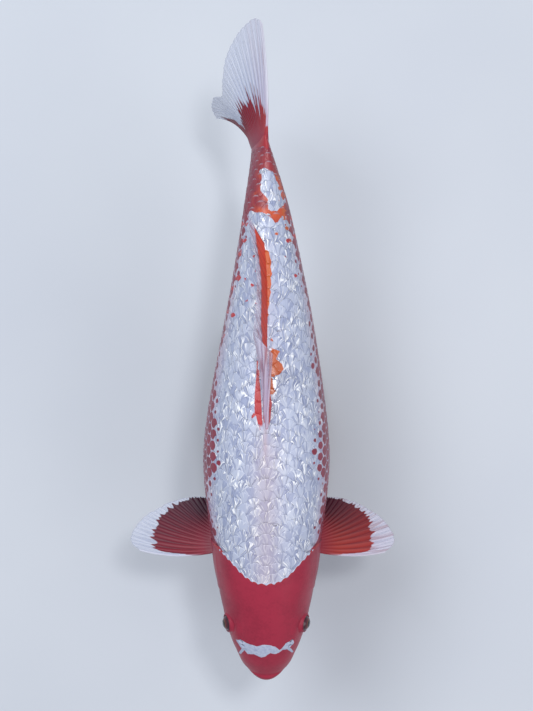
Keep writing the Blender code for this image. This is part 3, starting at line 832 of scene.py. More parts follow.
GIRTH_T = np.linspace(0.15, 1.0, 256)
GIRTH_THETA = np.linspace(0, math.pi, 241)
GIRTH_STEPS = np.linalg.norm(np.diff(surface(ring_at(GIRTH_T)[:, None], GIRTH_THETA[None, :]),
                                     axis=1), axis=-1)
GIRTH_ARCS = np.concatenate([np.zeros((256, 1)), np.cumsum(GIRTH_STEPS, axis=1)], axis=1)
GIRTH_HALF = GIRTH_ARCS[:, -1]
GIRTH_ANGLES = np.stack([np.interp(np.linspace(0, arcs[-1], 161), arcs, GIRTH_THETA)
                         for arcs in GIRTH_ARCS])
LATERAL_LINE = np.array([np.interp(math.radians(92), GIRTH_THETA, arcs)
                         for arcs in GIRTH_ARCS])


def angle_at(t, arc):
    """The angle from the top at a length round the body from it, +X side positive.

    Past the belly's middle the length goes on up the other side.
    """
    share = np.abs(arc) / np.interp(t, GIRTH_T, GIRTH_HALF)
    folded = np.clip(np.where(share > 1, 2 - share, share), 0, 1) * 160
    row = np.clip((t - GIRTH_T[0]) / (GIRTH_T[1] - GIRTH_T[0]), 0, 254.999)
    i, j = row.astype(int), np.minimum(folded.astype(int), 159)
    p, q = row - i, folded - j
    angle = ((1 - p) * ((1 - q) * GIRTH_ANGLES[i, j] + q * GIRTH_ANGLES[i, j + 1])
             + p * ((1 - q) * GIRTH_ANGLES[i + 1, j] + q * GIRTH_ANGLES[i + 1, j + 1]))
    return np.sign(arc) * np.where(share > 1, TURN - angle, angle)


def scale_roots():
    """Every scale's root, as distance, length round from the top, column, row and side.

    Columns are even steps of the spacing along the body; odd rows lie half a step back. Rows
    are steps of the spacing round it from the lateral line, up to the back's and down to the
    belly's middle, where a row of its own runs.
    """
    t = np.linspace(SCALES_START, SCALES_END, 900)
    along = np.interp(t, SPACING_PLACES, SPACING_ALONG)
    column = np.concatenate([[0], np.cumsum(np.diff(t) * SL / along[1:])])
    roots = []
    for side in (-1, 1):
        for row in range(BELLY_ROW + 1, BACK_ROW):
            whole = np.arange(0, int(column[-1]) + 1) + 0.5 * (row % 2)
            place = np.interp(whole, column, t)
            width = np.interp(place, SPACING_PLACES, SPACING_ROUND)
            half = np.interp(place, GIRTH_T, GIRTH_HALF)
            arc = np.interp(place, GIRTH_T, LATERAL_LINE) - row * width
            kept = (arc > 0.45 * width) & (arc < half - 0.45 * width)
            roots.append(np.stack([place, side * arc, whole, 0 * arc + row, 0 * arc + side],
                                  axis=-1)[kept])
    for row, share in ((BACK_ROW, 0.0), (BELLY_ROW, 1.0)):
        whole = np.arange(0, int(column[-1])) + 0.25
        place = np.interp(whole, column, t)
        arc = share * np.interp(place, GIRTH_T, GIRTH_HALF)
        roots.append(np.stack([place, arc, whole, 0 * arc + row, 0 * arc + 1], axis=-1))
    roots = np.concatenate(roots)
    edge = gill_line(angle_at(roots[:, 0], roots[:, 1]))
    return roots[roots[:, 0] > edge - 0.014]


def scale_shape():
    """One scale's grid: shares of its length and half width, and its edge's and rim's marks.

    Rows are fans about the root, from p = 0.20 to the rear edge; columns are angles of up
    to 75 degrees to each side. The last row is the rear edge again, for the lower outline.
    """
    p = np.array([0.20, 0.50, 0.80, 0.94, 1.0, 1.0])[:, None]
    turn = np.radians(np.linspace(-75, 75, 10))[None, :]
    along = p * np.cos(turn)
    across = np.sin(turn) / math.sin(math.radians(75)) * (0.75 + 0.25 * p)
    below = np.array([0, 0, 0, 0, 0.22, 1.0])[:, None] + 0 * along
    rows, columns = along.shape
    number = np.arange(rows * columns).reshape(rows, columns)
    under = np.concatenate([number[0, ::-1], number[1:, 0], number[-1, 1:],
                            number[-2:0:-1, -1]])
    return along, across, below, grid_faces(rows, columns), under[None, :]


def scale_paint(colours):
    """Pearly scales crumpled like foil, with red spots, unbroken red and orange patches.

    Wrinkles fan out from a place near each scale's root. Where their noise crosses its
    middle value, a narrow bright crest runs: a painted highlight, the foil's glint, with a
    line of painted shade beside it. The pearl is painted darker in the wrinkles' low
    parts, as painted shade, and each scale a random share darker, partly its own tone and
    partly painted light for how its tilt catches the light.
    """
    paint = Paint("koi_scales", coat_roughness=0.14, specular_ior_level=0.5)
    place = paint.place()
    along, across = paint.uv("scale")
    across = across * 2.0 - 1.0
    chance = paint.field("chance")
    bend = (paint.noise(place, 110.0, 1.0, 0.5) - 0.5) * 0.5
    turn = paint.math("ARCTAN2", across * 0.72, along - 0.12) + bend
    wrinkle = paint.noise(paint.vector(turn * 4.4, along * 0.8, chance * 43.0), 1.0, 0.5, 0.5)
    fine = paint.noise(paint.vector(turn * 12.0, along * 1.6, chance * 71.0), 1.0, 2.0, 0.5)
    cloud = paint.noise(place, 60.0, 3.0, 0.6)
    group = paint.smooth(paint.noise(place, 75.0, 2.0, 0.5), 0.42, 0.58)
    # crest: the middle line of each wrinkle, where a painted highlight, the foil's glint, goes
    # on the pearl
    crest = 1.0 - paint.smooth(paint.math("ABSOLUTE", wrinkle - 0.5), 0.012, 0.060)
    # valley: a line beside each crest, where painted shade darkens the pearl
    valley = 1.0 - paint.smooth(paint.math("ABSOLUTE", wrinkle - 0.41), 0.010, 0.045)
    crease = wrinkle * 0.6 + fine * 0.4
    # The pearl is painted darker where the wrinkles are low, as painted shade of the crumpled
    # foil, and by a random cloud.
    pearl = paint.mix(tuple(colours.pearl_shade), tuple(colours.pearl),
                      paint.smooth(crease + (cloud - 0.5) * 0.6, 0.40, 0.56))
    # Each scale a random share darker: partly its own tone, partly painted light for how each
    # scale's tilt catches the light.
    tone = paint.math("FRACT", chance * 17.3)
    pearl = paint.mix(pearl, tuple(colours.pearl_shade), tone * 0.45)
    # Painted shade along the valleys, then the painted highlight along the crests.
    pearl = paint.mix(pearl, tuple(colours.pearl_fold_shade), valley * (0.25 + group * 0.55))
    pearl = paint.mix(pearl, tuple(colours.pearl_painted_glint), crest * (0.30 + group * 0.70))
    pearl = paint.mix(pearl, tuple(colours.blush), paint.field("rosy") * 0.35)
    pearl = paint.mix(pearl, tuple(colours.flank_pearl), paint.field("dusky") * 0.6)
    pearl = paint.mix(pearl, tuple(colours.belly), paint.field("belly"))
    red = paint.mix(tuple(colours.flank_red), tuple(colours.flank_deep),
                    paint.smooth(cloud + (crease - 0.5) * 0.5, 0.35, 0.7))
    red = paint.mix(red, tuple(colours.saddle), paint.field("warmth")
                    * (0.25 + paint.smooth(paint.noise(place, 48.0, 2.0, 0.5), 0.40, 0.52)
                       * 0.75))
    redness = paint.field("red") + (chance - 0.5) * 0.9
    reach = paint.math("MINIMUM", redness * 0.6 + 0.45, 1.0)
    spot = ((((along - 0.68) / 0.31) ** 2.0 + (across / 0.58) ** 2.0) ** 0.5
            + (paint.noise(place, 320.0, 2.0, 0.5) - 0.5) * 0.4)
    ragged = (paint.noise(place, 240.0, 3.0, 0.6) - 0.5) * 2.6
    whole = paint.smooth(paint.field("solid") + ragged + (along - 0.7) * 1.5, -0.4, 0.4)
    whole = whole * (1.0 - paint.smooth(along, 0.86, 0.98) * 0.42)
    mark = paint.math("MAXIMUM", whole, paint.smooth(reach - spot, -0.07, 0.09))
    colour = paint.mix(pearl, red, mark)
    orange = paint.smooth(paint.field("drawn_orange") + ragged * 0.6, -0.35, 0.35)
    stripe = paint.smooth(paint.field("drawn_red") + ragged * 0.15, -0.3, 0.3)
    fleck = paint.mix(tuple(colours.orange), tuple(colours.saddle),
                      paint.smooth(fine, 0.45, 0.62) * 0.6)
    colour = paint.mix(paint.mix(colour, fleck, orange), tuple(colours.stripe_red), stripe)
    paint.colour(colour)
    mark = paint.math("MAXIMUM", mark, paint.math("MAXIMUM", orange, stripe))
    paint.roughness(0.42 - paint.smooth(crease, 0.3, 0.7) * 0.12 - crest * group * 0.08
                    + mark * 0.10)
    paint.feed(paint.shader.inputs["Coat Weight"], 0.50 - mark * 0.36)
    paint.relief((crest - valley * 0.5) * 0.5 * (0.3 + group * 0.7) * (1.0 - mark * 0.6)
                 + wrinkle * 0.35 + fine * 0.15, 0.0011, 0.75)
    return paint.material


def make_scales(sizes, colours):
    """Overlapping closed scales over the body, in pieces of its front, middle and rear.

    A scale's point at shares (a, b) lies a lengths behind its root and b half widths round
    from it, at a height over the skin that rises evenly from the root to the rear edge. Its
    underside is flat shaded, so that its upper side's shading runs clean to the edges.
    """
    roots = scale_roots()
    along, across, below, quads, under = scale_shape()
    chance = np.random.default_rng(11)
    count, corners = len(roots), along.size
    t0, arc0, column, row, side = (roots[:, k, None, None] for k in range(5))
    length = np.interp(t0, SPACING_PLACES, SPACING_ALONG) * sizes.scale_reach
    width = np.interp(t0, SPACING_PLACES, SPACING_ROUND) * sizes.scale_width
    yaw, tilt, lift, luck = (chance.uniform(-1, 1, (count, 1, 1)) for _ in range(4))
    a, b = along * length, across * width
    a, b = a - b * yaw * 0.07, b + a * yaw * 0.07
    t = t0 + a / SL
    theta = angle_at(t, arc0 + b)
    rings = ring_at(t)
    median = (row == BACK_ROW) | (row == BELLY_ROW)
    height = (-sizes.coat + 0.00005 + (sizes.coat - 0.0001) * along ** 0.9
              - 0.00018 * across ** 2 + 0.00010 * tilt * across + 0.00006 * lift * along
              + 0.00010 * median - sizes.scale_thickness * below)
    points = surface(rings, theta) + outward(rings, theta) * height[..., None]
    x = points[..., 0] * 1000
    root_theta = angle_at(t0, arc0)
    red = flank_red(t0 + 0.65 * length / SL, root_theta)
    drawn = marks(t, theta, x)
    degrees = np.degrees(np.abs(theta))
    ones = np.ones_like(t)
    fields = {
        "red": red * ones, "chance": (luck * 0.5 + 0.5) * ones, **drawn,
        "belly": smoothstep((np.where(degrees > 180, 360 - degrees, degrees) - 105) / 35),
    }
    # On the bake's map each scale has a cell by its column within its band and its row; its
    # upper side fills most of the cell, and its underside lies small in the cell's corner.
    names = ("front", "middle", "rear")
    bands, upper = len(names), row > 0
    band = np.minimum((column / (column.max() + 1) * bands).astype(int), bands - 1)
    cell_u, cells_u = column - band * column.max() / bands, column.max() / bands + 2.5
    cell_v, cells_v = np.abs(row), BACK_ROW + 3
    outset = np.where(below > 0.9, 1.06, 1.0)
    bake_u = (cell_u + 0.55 + 0.80 * along * outset) / cells_u
    bake_v = (cell_v + 0.6 + 0.42 * across * outset) / cells_v
    tiny_u = (cell_u + 1.46 + 0.04 * along) / cells_u
    tiny_v = (cell_v + 0.14 + 0.04 * across) / cells_v
    shape_u = np.broadcast_to(along, t.shape)
    shape_v = np.broadcast_to(across * 0.5 + 0.5, t.shape)
    paint = scale_paint(colours)
    for number, name in enumerate(names):
        for part, on_part in (("upper", upper), ("lower", ~upper)):
            for hand, sign in (("left", 1), ("right", -1)):
                mine = ((band == number) & on_part & (side == sign)).ravel()
                start = (np.arange(mine.sum()) * corners)[:, None, None]
                faces = [(quads[None] + start).reshape(-1, 4),
                         (under[None] + start).reshape(-1, under.shape[1])]
                flat = [np.stack([u[mine].reshape(-1, corners), v[mine].reshape(-1, corners)],
                                 axis=-1) for u, v in ((bake_u, bake_v), (tiny_u, tiny_v),
                                                       (shape_u, shape_v))]
                bake = np.concatenate([flat[0][:, quads].reshape(-1, 2),
                                       flat[1][:, under].reshape(-1, 2)])
                local = np.concatenate([flat[2][:, quads].reshape(-1, 2),
                                        flat[2][:, under].reshape(-1, 2)])
                piece = new_piece(f"scales_{name}_{part}_{hand}", points[mine], faces, paint,
                                  {label: values[mine].ravel()
                                   for label, values in fields.items()},
                                  {"OFBake": bake, "scale": local})
                upward = np.arange(len(piece.data.polygons)) < mine.sum() * len(quads)
                piece.data.polygons.foreach_set("use_smooth", upward)
                assign(piece, "scales")


# ---------------------------------------------------------------------------------------
# Eyes, nostrils and barbels
# ---------------------------------------------------------------------------------------

def eye_frame(mirror):
    """An eye's middle, and three axes: out through the pupil, and two across it."""
    axis = EYE_AXIS * [mirror, 1, 1]
    axis = axis / np.linalg.norm(axis)
    side = np.cross(axis, [0.0, 0.0, 1.0])
    side /= np.linalg.norm(side)
    return placed(EYE_T, mirror * EYE_X, EYE_Z), axis, side, np.cross(side, axis)


def eye_paint(colours):
    """A black pupil in a thin gold ring, a streaked maroon iris and a dark outer ring."""
    paint = Paint("koi_eye", roughness=0.30, coat_weight=0.35, coat_roughness=0.04)
    polar, turn = paint.field("polar"), paint.field("turn")
    streak = paint.noise(paint.vector(turn * 9.0, polar * 4.0, 0.0), 1.0, 3.0, 0.6)
    iris = paint.mix(tuple(colours.iris), tuple(colours.iris_gold),
                     paint.smooth(streak - (polar - 0.45) * 0.9, 0.42, 0.62))
    iris = paint.mix(tuple(colours.iris_gold), iris, paint.smooth(polar, 0.44, 0.49))
    iris = paint.mix(iris, tuple(colours.iris_edge), paint.smooth(polar, 0.62, 0.84))
    paint.colour(paint.mix((0.004, 0.003, 0.004), iris, paint.smooth(polar, 0.41, 0.44)))
    paint.relief(streak, 0.0002, 0.4)
    return paint.material


def make_eyes(sizes, colours):
    """Two eyeballs, with a low dome over the pupil, and a soft rim of skin round each.

    The ball's points run from the pupil's middle round to the back; the rim is a ring of
    circles carried round the opening.
    """
    paint, lid = eye_paint(colours), bpy.data.materials["koi_skin"]
    rows, columns = 40, 56
    turn = np.linspace(0, TURN, columns, endpoint=False)
    for hand, mirror in (("left", 1), ("right", -1)):
        middle, axis, side, up = eye_frame(mirror)
        polar = np.linspace(0, math.pi, rows)[1:-1, None]
        reach = sizes.eye_radius * (1 + 0.045 * bell(polar, 0.55) - 0.03 * bell(polar, 0.2))
        points = middle + (axis * (reach * np.cos(polar))[..., None]
                           + (side * np.cos(turn)[:, None] + up * np.sin(turn)[:, None])
                           * (reach * np.sin(polar))[..., None])
        ends = [middle + axis * sizes.eye_radius * 1.015, middle - axis * sizes.eye_radius]
        ball = new_piece(f"eyeball_{hand}", np.concatenate([points.reshape(-1, 3), ends]),
                         [grid_faces(rows - 2, columns, wrap=True),
                          cap_faces(rows - 2, columns)], paint,
                         {"polar": np.append((polar + 0 * turn).ravel(), [0.0, math.pi]),
                          "turn": np.append((0 * polar + np.abs(turn - math.pi)).ravel(),
                                            [0.0, 0.0])})
        assign(ball, "eye", f"eye_{hand}")
        level = math.sqrt((sizes.eye_radius + 0.0006) ** 2 - sizes.eye_opening ** 2)
        bead = np.linspace(0, TURN, 12, endpoint=False)[None, :]
        around = turn[:, None]
        wide = sizes.eye_opening + 0.00065 * np.cos(bead) + 0 * around
        high = level + 0.00055 * np.sin(bead) + 0 * around
        ring = (middle + axis * high[..., None] + side * (wide * np.cos(around))[..., None]
                + up * (wide * np.sin(around))[..., None])
        joint = grid_faces(columns + 1, 12, wrap=True) % (columns * 12)
        rim = new_piece(f"eye_rim_{hand}", ring, [joint], lid,
                        skin_fields(ring.size // 3, pale=FAR, dark=0.25, sideways=1.0))
        assign(rim, "head_skin")


def make_nostrils():
    """A small arched flap of skin between the two openings of each nostril."""
    paint = bpy.data.materials["koi_skin"]
    for hand, mirror in (("left", 1), ("right", -1)):
        step = np.linspace(-1, 1, 15)
        ring = ring_at(NOSTRIL_T - 0.0006 + 0.0022 * (1 - step ** 2))
        angle = mirror * (NOSTRIL_ANGLE + step * 0.060)
        path = (surface(ring, angle) + outward(ring, angle)
                * (0.0010 * (1 - step ** 2) - 0.0002)[:, None])
        points, faces = tube(path, 0.00035 + 0.00055 * (1 - step ** 2), 10)
        flap = new_piece(f"nostril_flap_{hand}", points, faces, paint,
                         skin_fields(len(points), pale=2.0, dark=0.05, sideways=0.2))
        assign(flap, "head_skin")


# The barbels' curves: each control point's distance behind, beside and over the snout's middle.
BARBELS = {
    "lip_barbel": ((0.016, 0.0250, -0.026), (0.020, 0.0345, -0.037),
                   (0.027, 0.0340, -0.054)),
    "corner_barbel": ((0.034, 0.0300, -0.024), (0.040, 0.0410, -0.035),
                      (0.047, 0.0415, -0.052), (0.056, 0.0400, -0.072)),
}


def make_barbels(sizes):
    """Four fleshy feelers: tapering tubes along curves of Bernstein weights of their places."""
    paint, sides = bpy.data.materials["koi_skin"], 14
    for kind, places in BARBELS.items():
        last = len(places) - 1
        s = np.linspace(0, 1, 40)[:, None]
        weights = np.concatenate([math.comb(last, k) * s ** k * (1 - s) ** (last - k)
                                  for k in range(last + 1)], axis=1)
        for hand, mirror in (("left", 1), ("right", -1)):
            t, x, z = (weights @ np.array(places)).T
            path = placed(t, mirror * x, z)
            radii = sizes.barbel_radius * (1 - 0.68 * s[:, 0]) * (
                1 + 0.05 * np.sin(s[:, 0] * 60))
            points, faces = tube(path, radii, sides)
            tip = np.append(np.repeat(s[:, 0], sides), [0.0, 1.0])
            piece = new_piece(f"{kind}_skin_{hand}", points, faces, paint,
                              skin_fields(len(points), pale=FAR, sideways=0.6 - 0.3 * tip,
                                          throat=0.75 * tip))
            assign(piece, "head_skin", f"{kind}_{hand}")


# ---------------------------------------------------------------------------------------
# Fins
# ---------------------------------------------------------------------------------------

# The fins' rays, from the leading one at v = 0 to the last at v = 1: v, the root's distance
# behind the snout, the root's height over the axis or angle from the top, the length in
# standard lengths, and the first and last heading and elevation in degrees.
DORSAL = (
    (0.00, 0.470, 0.138, 0.164, (3, 34), (6, 12)),
    (0.10, 0.503, 0.136, 0.158, (-6, 33), (-7, 12)),
    (0.25, 0.552, 0.131, 0.118, (-15, 31), (-13, 14)),
    (0.45, 0.620, 0.120, 0.088, (-18, 30), (-14, 16)),
    (0.70, 0.705, 0.101, 0.074, (-22, 29), (-17, 13)),
    (1.00, 0.806, 0.076, 0.080, (-32, 18), (-27, -6)),
)
ANAL = (
    (0.00, 0.775, -0.083, 0.140, (2, -62), (0, -40)),
    (0.25, 0.795, -0.078, 0.128, (2, -56), (-2, -36)),
    (0.60, 0.822, -0.071, 0.088, (0, -48), (-4, -30)),
    (1.00, 0.850, -0.065, 0.056, (0, -38), (-4, -22)),
)
CAUDAL = (
    (0.00, 1.006, 0.052, 0.222, (5, 24), (-7, 14)),
    (0.10, 1.006, 0.042, 0.232, (2, 21), (-9, 14)),
    (0.25, 1.006, 0.026, 0.216, (-8, 15), (-17, 10)),
    (0.40, 1.006, 0.010, 0.184, (-17, 8), (-25, 2)),
    (0.55, 1.006, -0.006, 0.148, (-24, 0), (-33, -10)),
    (0.64, 1.006, -0.015, 0.138, (-26, -8), (-42, -22)),
    (0.80, 1.006, -0.031, 0.184, (-25, -18), (-58, -46)),
    (0.92, 1.006, -0.043, 0.198, (-23, -27), (-68, -54)),
    (1.00, 1.006, -0.052, 0.190, (-20, -34), (-74, -56)),
)
PECTORAL = (
    (0.00, 0.234, 116, 0.150, (105, -6), (80, -18)),
    (0.10, 0.239, 117, 0.172, (99, -7), (76, -19)),
    (0.25, 0.247, 119, 0.165, (85, -9), (69, -20)),
    (0.45, 0.257, 121, 0.134, (69, -11), (57, -20)),
    (0.70, 0.266, 124, 0.100, (48, -13), (39, -20)),
    (1.00, 0.276, 128, 0.067, (22, -14), (12, -20)),
)
PELVIC = (
    (0.00, 0.492, 158, 0.132, (34, -40), (22, -26)),
    (0.20, 0.497, 160, 0.138, (28, -38), (16, -25)),
    (0.50, 0.505, 162, 0.118, (18, -35), (8, -22)),
    (1.00, 0.516, 165, 0.078, (4, -30), (-2, -16)),
)
# How far inside the body a ray starts, in metres.
FIN_INSET = 0.008


def direction(heading, elevation):
    """The unit vector at a heading from +Y to +X and an elevation, in degrees."""
    heading, elevation = np.radians(heading), np.radians(elevation)
    return np.stack([np.sin(heading) * np.cos(elevation), np.cos(heading) * np.cos(elevation),
                     np.sin(elevation)], axis=-1)


def fin_points(rays, on_flank, u, v):
    """Points on a fin's middle surface: u along the ray at v.

    The ray starts inside the body, leaves it in its first direction and turns to its last,
    with a bend that grows with the square of the way along it.
    """
    table = np.array([(k[0], k[1], k[2], k[3], *k[4], *k[5]) for k in rays])
    _, t, height, length, *angles = np.moveaxis(through(table[:, 0], table, v), -1, 0)
    start = (surface(ring_at(t), np.radians(height)) if on_flank
             else placed(t, 0 * t, height))
    first, last = direction(*angles[:2]), direction(*angles[2:])
    length = length * SL
    out = u * (length + FIN_INSET) - FIN_INSET
    bend = np.maximum(out, 0) ** 2 / (2 * length)
    return start + first * out[..., None] + (last - first) * bend[..., None]


def ray_ridge(u, w, fork, fork_again):
    """How near a place is to a fin ray, 1 on it, where rays stand at whole numbers of w.

    Each ray forks at u = fork into two that part evenly, and each of these forks again.
    """
    away = np.abs(w - np.round(w))
    first = smoothstep((u - fork) / (1.05 - fork))
    second = smoothstep((u - fork_again) / (1.1 - fork_again))
    away = np.abs(np.abs(away - 0.25 * first) - 0.125 * second)
    return bell(away, 0.15 - 0.05 * first - 0.035 * second)


def make_fin(name, rays, on_flank, look, sizes, paint, nodes, mirror=1, shares=(1.0, 1.0)):
    """A thin closed fin: a grid along and across its rays, thickened on both sides.

    Its half thickness is a web's, less towards the edge, plus the ridge of each ray, and plus
    the flesh that runs out over the rays' roots. The web is folded a little between rays, its
    outer edge steps in slightly between their tips, and a few splits run in from it. Colour
    ends along a line across the rays, with a finger of its own length along each ray and
    between rays.
    """
    count, rows, fine = look["rays"], look["rows"], look["fine"]
    columns = (count - 1) * fine + 1
    luck = np.random.default_rng(look["seed"])
    u, v = np.meshgrid(np.linspace(0, 1, rows) ** 0.9, np.linspace(0, 1, columns),
                       indexing="ij")
    w = v * (count - 1)
    ends = luck.uniform(-1, 1, count + 1)
    uneven = np.interp(w, np.arange(count + 1), ends)
    between = np.abs(np.abs(w - np.round(w)) - 0.5)
    edge = 1 - 0.006 + 0.006 * uneven - look["notch"] * bell(between, 0.16)
    for place in look["splits"]:
        edge = edge - 0.045 * bell(w - place, 0.10)
    u = u * (1 + (edge - 1) * smoothstep((u - 0.55) / 0.45))
    middle = fin_points(rays, on_flank, u * (shares[0] + (shares[1] - shares[0]) * v), v)
    across = np.gradient(middle, axis=1)
    along = np.gradient(middle, axis=0)
    normal = np.cross(along, across)
    normal /= np.maximum(np.linalg.norm(normal, axis=-1, keepdims=True), 1e-12)
    away = np.linalg.norm(middle - middle[:1], axis=-1)
    flesh = (1 - smoothstep((away - 0.011) / 0.026)) * (look["root"] > 0)
    ridge = ray_ridge(u, w, look["fork"], look["fork"] + 0.3) * (1 - flesh)
    fold = (look["fold"] * smoothstep((u - 0.08) / 0.5) * np.cos(TURN * w)
            + look["ripple"] * u ** 2 * np.sin(TURN * (v * look["waves"] + 0.15 * u)))
    middle = middle + normal * fold[..., None]
    half = (0.00085 - 0.00062 * u ** 0.5 + sizes.fin_ray_height * ridge * (1 - 0.55 * u)
            + 0.0004 * bell(v, 0.03) * (1 - u)
            + look["foot"] * bell(u, 0.42) * smoothstep(v / 0.06) * (1 - smoothstep(v / 0.4))
            + look["root"] * flesh * np.sqrt(4 * v * (1 - v)))
    upper, lower = middle + normal * half[..., None], middle - normal * half[..., None]
    points = np.concatenate([upper, lower[:, ::-1]], axis=1) * [mirror, 1, 1]
    wide = 2 * columns
    j = np.arange(columns - 1)
    root = np.stack([j + 1, j, wide - 1 - j, wide - 2 - j], axis=-1)
    top = (rows - 1) * wide
    rim = np.stack([top + j, top + j + 1, top + wide - 2 - j, top + wide - 1 - j], axis=-1)
    warm, dusk, finger = (np.interp(v, look["tone_v"], look[tone])
                          for tone in ("warm", "dusk", "finger"))
    line = np.interp(v, look["dye_v"], look["dye_u"])
    for place, reach in zip(np.arange(2 * count) / 2, luck.uniform(-0.4, 1, 2 * count)):
        line = line + finger * reach * bell(w - place, 0.17)
    dye = smoothstep((line - u) / look["soft"] + 0.5)
    white = np.interp(v, look["white_v"], look["white"]) * smoothstep((u - 0.25) / 0.2)

    def both(values):
        return np.concatenate([values, values[:, ::-1]], axis=1).ravel()

    fields = {"dye": both(dye), "ridge": both(ridge), "out": both(u), "ray": both(w),
              "white": both(white), "warm": both(warm), "dusk": both(dusk),
              "flesh": both(flesh)}
    piece = new_piece(name, points, [grid_faces(rows, wide, wrap=True), root, rim], paint,
                      fields)
    assign(piece, "fin_skin", *nodes)


def fin_paint(colours):
    """Red fins with darker rays that fade along each ray to a pale, half-clear web."""
    paint = Paint("koi_fin", roughness=0.44, coat_weight=0.10, coat_roughness=0.25,
                  specular_ior_level=0.26)
    place = paint.place()
    ridge, out, ray = paint.field("ridge"), paint.field("out"), paint.field("ray")
    strand = paint.noise(paint.vector(ray * 4.0, out * 3.0, 0.0), 1.0, 3.0, 0.6)
    cloud = paint.noise(place, 55.0, 3.0, 0.6)
    joints = paint.math("SINE", out * 260.0) * 0.5 + 0.5
    red = paint.mix(tuple(colours.fin_red), tuple(colours.fin_warm), paint.field("warm"))
    red = paint.mix(red, tuple(colours.fin_deep),
                    paint.smooth(ridge * 0.45 + strand * 0.6 + (cloud - 0.5) * 0.4, 0.40, 0.80)
                    * (0.85 - paint.field("warm") * 0.5)
                    * (paint.smooth(out, 0.0, 0.3) * 0.65 + 0.35))
    red = paint.mix(red, tuple(colours.fin_dusk), paint.field("dusk") * (
        paint.smooth(out, 0.05, 0.75) * 0.75 + 0.25))
    red = paint.mix(red, tuple(colours.flank_red), paint.field("flesh") * 0.85)
    pale = paint.mix(tuple(colours.fin_web), tuple(colours.fin_pale),
                     paint.smooth(ridge * 0.5 + strand * 0.6, 0.3, 0.8))
    pale = paint.mix(pale, tuple(colours.fin_blush), paint.field("warm") * (
        1.0 - paint.smooth(out, 0.3, 1.0) * 0.7) * 0.75)
    pleat = paint.noise(paint.vector(ray * 0.9, out * 0.7, 0.0), 1.0, 1.0, 0.5)
    pleat = 1.0 - paint.smooth(paint.math("ABSOLUTE", pleat - 0.5), 0.01, 0.06)
    pale = paint.mix(pale, tuple(colours.fin_red), pleat * paint.field("warm") * 0.65)
    pale = paint.mix(pale, tuple(colours.fin_white), paint.field("white"))
    dye = paint.smooth(paint.field("dye") + (strand - 0.5) * 0.6, 0.25, 0.75)
    dye = dye * (1.0 - paint.field("white"))
    paint.colour(paint.mix(pale, red, dye))
    solid = paint.math("MAXIMUM", dye, paint.field("white") * 0.8)
    clear = paint.smooth(out, 0.35, 1.0) * 0.50 * (1.0 - ridge * 0.5)
    paint.feed(paint.shader.inputs["Alpha"],
               1.0 - clear * (1.0 - solid * 0.94) - (1.0 - solid) * 0.20)
    paint.relief(ridge * 0.5 + joints * ridge * 0.2 + strand * 0.15, 0.0004, 0.5)
    return paint.material


# Each fin's rays and mesh; its edge's notches and splits; where its rays fork; its folds and
# ripple; the thickness of its foot and of the flesh at its root, in metres; and its colouring:
# where the dye ends along the rays, its fingers' length and softness, the white strip, and the
# warm and dusky shares from first ray to last.
FIN_LOOKS = {
    "dorsal": dict(rays=21, rows=64, fine=8, seed=3, notch=0.0, splits=(), fork=0.45,
                   fold=0.0002, ripple=0.0006, waves=2.2, foot=0.0028, root=0.0, soft=0.10,
                   tone_v=(0, 0.3, 0.45, 1), warm=(0.9, 0.9, 1.0, 1.0), dusk=(0, 0, 0, 0),
                   finger=(0.12, 0.08, 0.03, 0.02),
                   dye_v=(0, 0.12, 0.3, 0.38, 0.46, 0.7, 0.9, 1),
                   dye_u=(0.16, 0.18, 0.20, 0.50, 0.66, 0.70, 0.72, 0.70),
                   white_v=(0, 1), white=(0, 0)),
    "anal": dict(rays=9, rows=52, fine=12, seed=5, notch=0.006, splits=(3.5,), fork=0.4,
                 fold=0.0002, ripple=0.0012, waves=1.3, foot=0.0, root=0.001, soft=0.10,
                 tone_v=(0, 1), warm=(0.5, 0.3), dusk=(0, 0.2), finger=(0.10, 0.10),
                 dye_v=(0, 1), dye_u=(0.60, 0.50), white_v=(0, 1), white=(0, 0)),
    "caudal": dict(rays=27, rows=90, fine=8, seed=8, notch=0.005, splits=(2.5,),
                   fork=0.30, fold=0.0002, ripple=0.0016, waves=2.2, foot=0.0, root=0.0052,
                   soft=0.06,
                   tone_v=(0, 0.1, 0.3, 0.6, 1), warm=(0.8, 0.30, 0.0, 0.0, 0.0),
                   dusk=(0, 0, 0.10, 0.30, 0.4), finger=(0.10, 0.18, 0.24, 0.22, 0.18),
                   dye_v=(0, 0.05, 0.12, 0.25, 0.35, 0.42, 0.55, 0.64, 0.75, 0.85, 0.93, 1),
                   dye_u=(0.16, 0.30, 0.34, 0.34, 0.48, 0.48, 0.62, 0.56, 0.36, 0.38, 0.62,
                          0.76),
                   white_v=(0, 0.03, 0.07, 1), white=(0.9, 0.8, 0, 0)),
    "pectoral": dict(rays=18, rows=76, fine=10, seed=13, notch=0.004,
                     splits=(), fork=0.38, fold=0.0002, ripple=0.0012,
                     waves=1.6, foot=0.0, root=0.0015, soft=0.05,
                     tone_v=(0, 0.3, 0.7, 1), warm=(0, 0, 0, 0), dusk=(0.15, 0.55, 0.95, 1.0),
                     finger=(0.07, 0.07, 0.06, 0.05),
                     dye_v=(0, 0.04, 0.07, 0.15, 0.25, 0.45, 0.7, 1),
                     dye_u=(0.40, 0.42, 0.70, 0.73, 0.78, 0.90, 0.95, 0.96),
                     white_v=(0, 0.02, 0.04, 1), white=(0.8, 0.6, 0, 0)),
    "pelvic": dict(rays=10, rows=52, fine=11, seed=21, notch=0.006, splits=(4.5,), fork=0.4,
                   fold=0.0002, ripple=0.0010, waves=1.4, foot=0.0, root=0.001, soft=0.08,
                   tone_v=(0, 1), warm=(0.4, 0.1), dusk=(0, 0.4), finger=(0.10, 0.10),
                   dye_v=(0, 1), dye_u=(0.68, 0.6), white_v=(0, 1), white=(0, 0)),
}


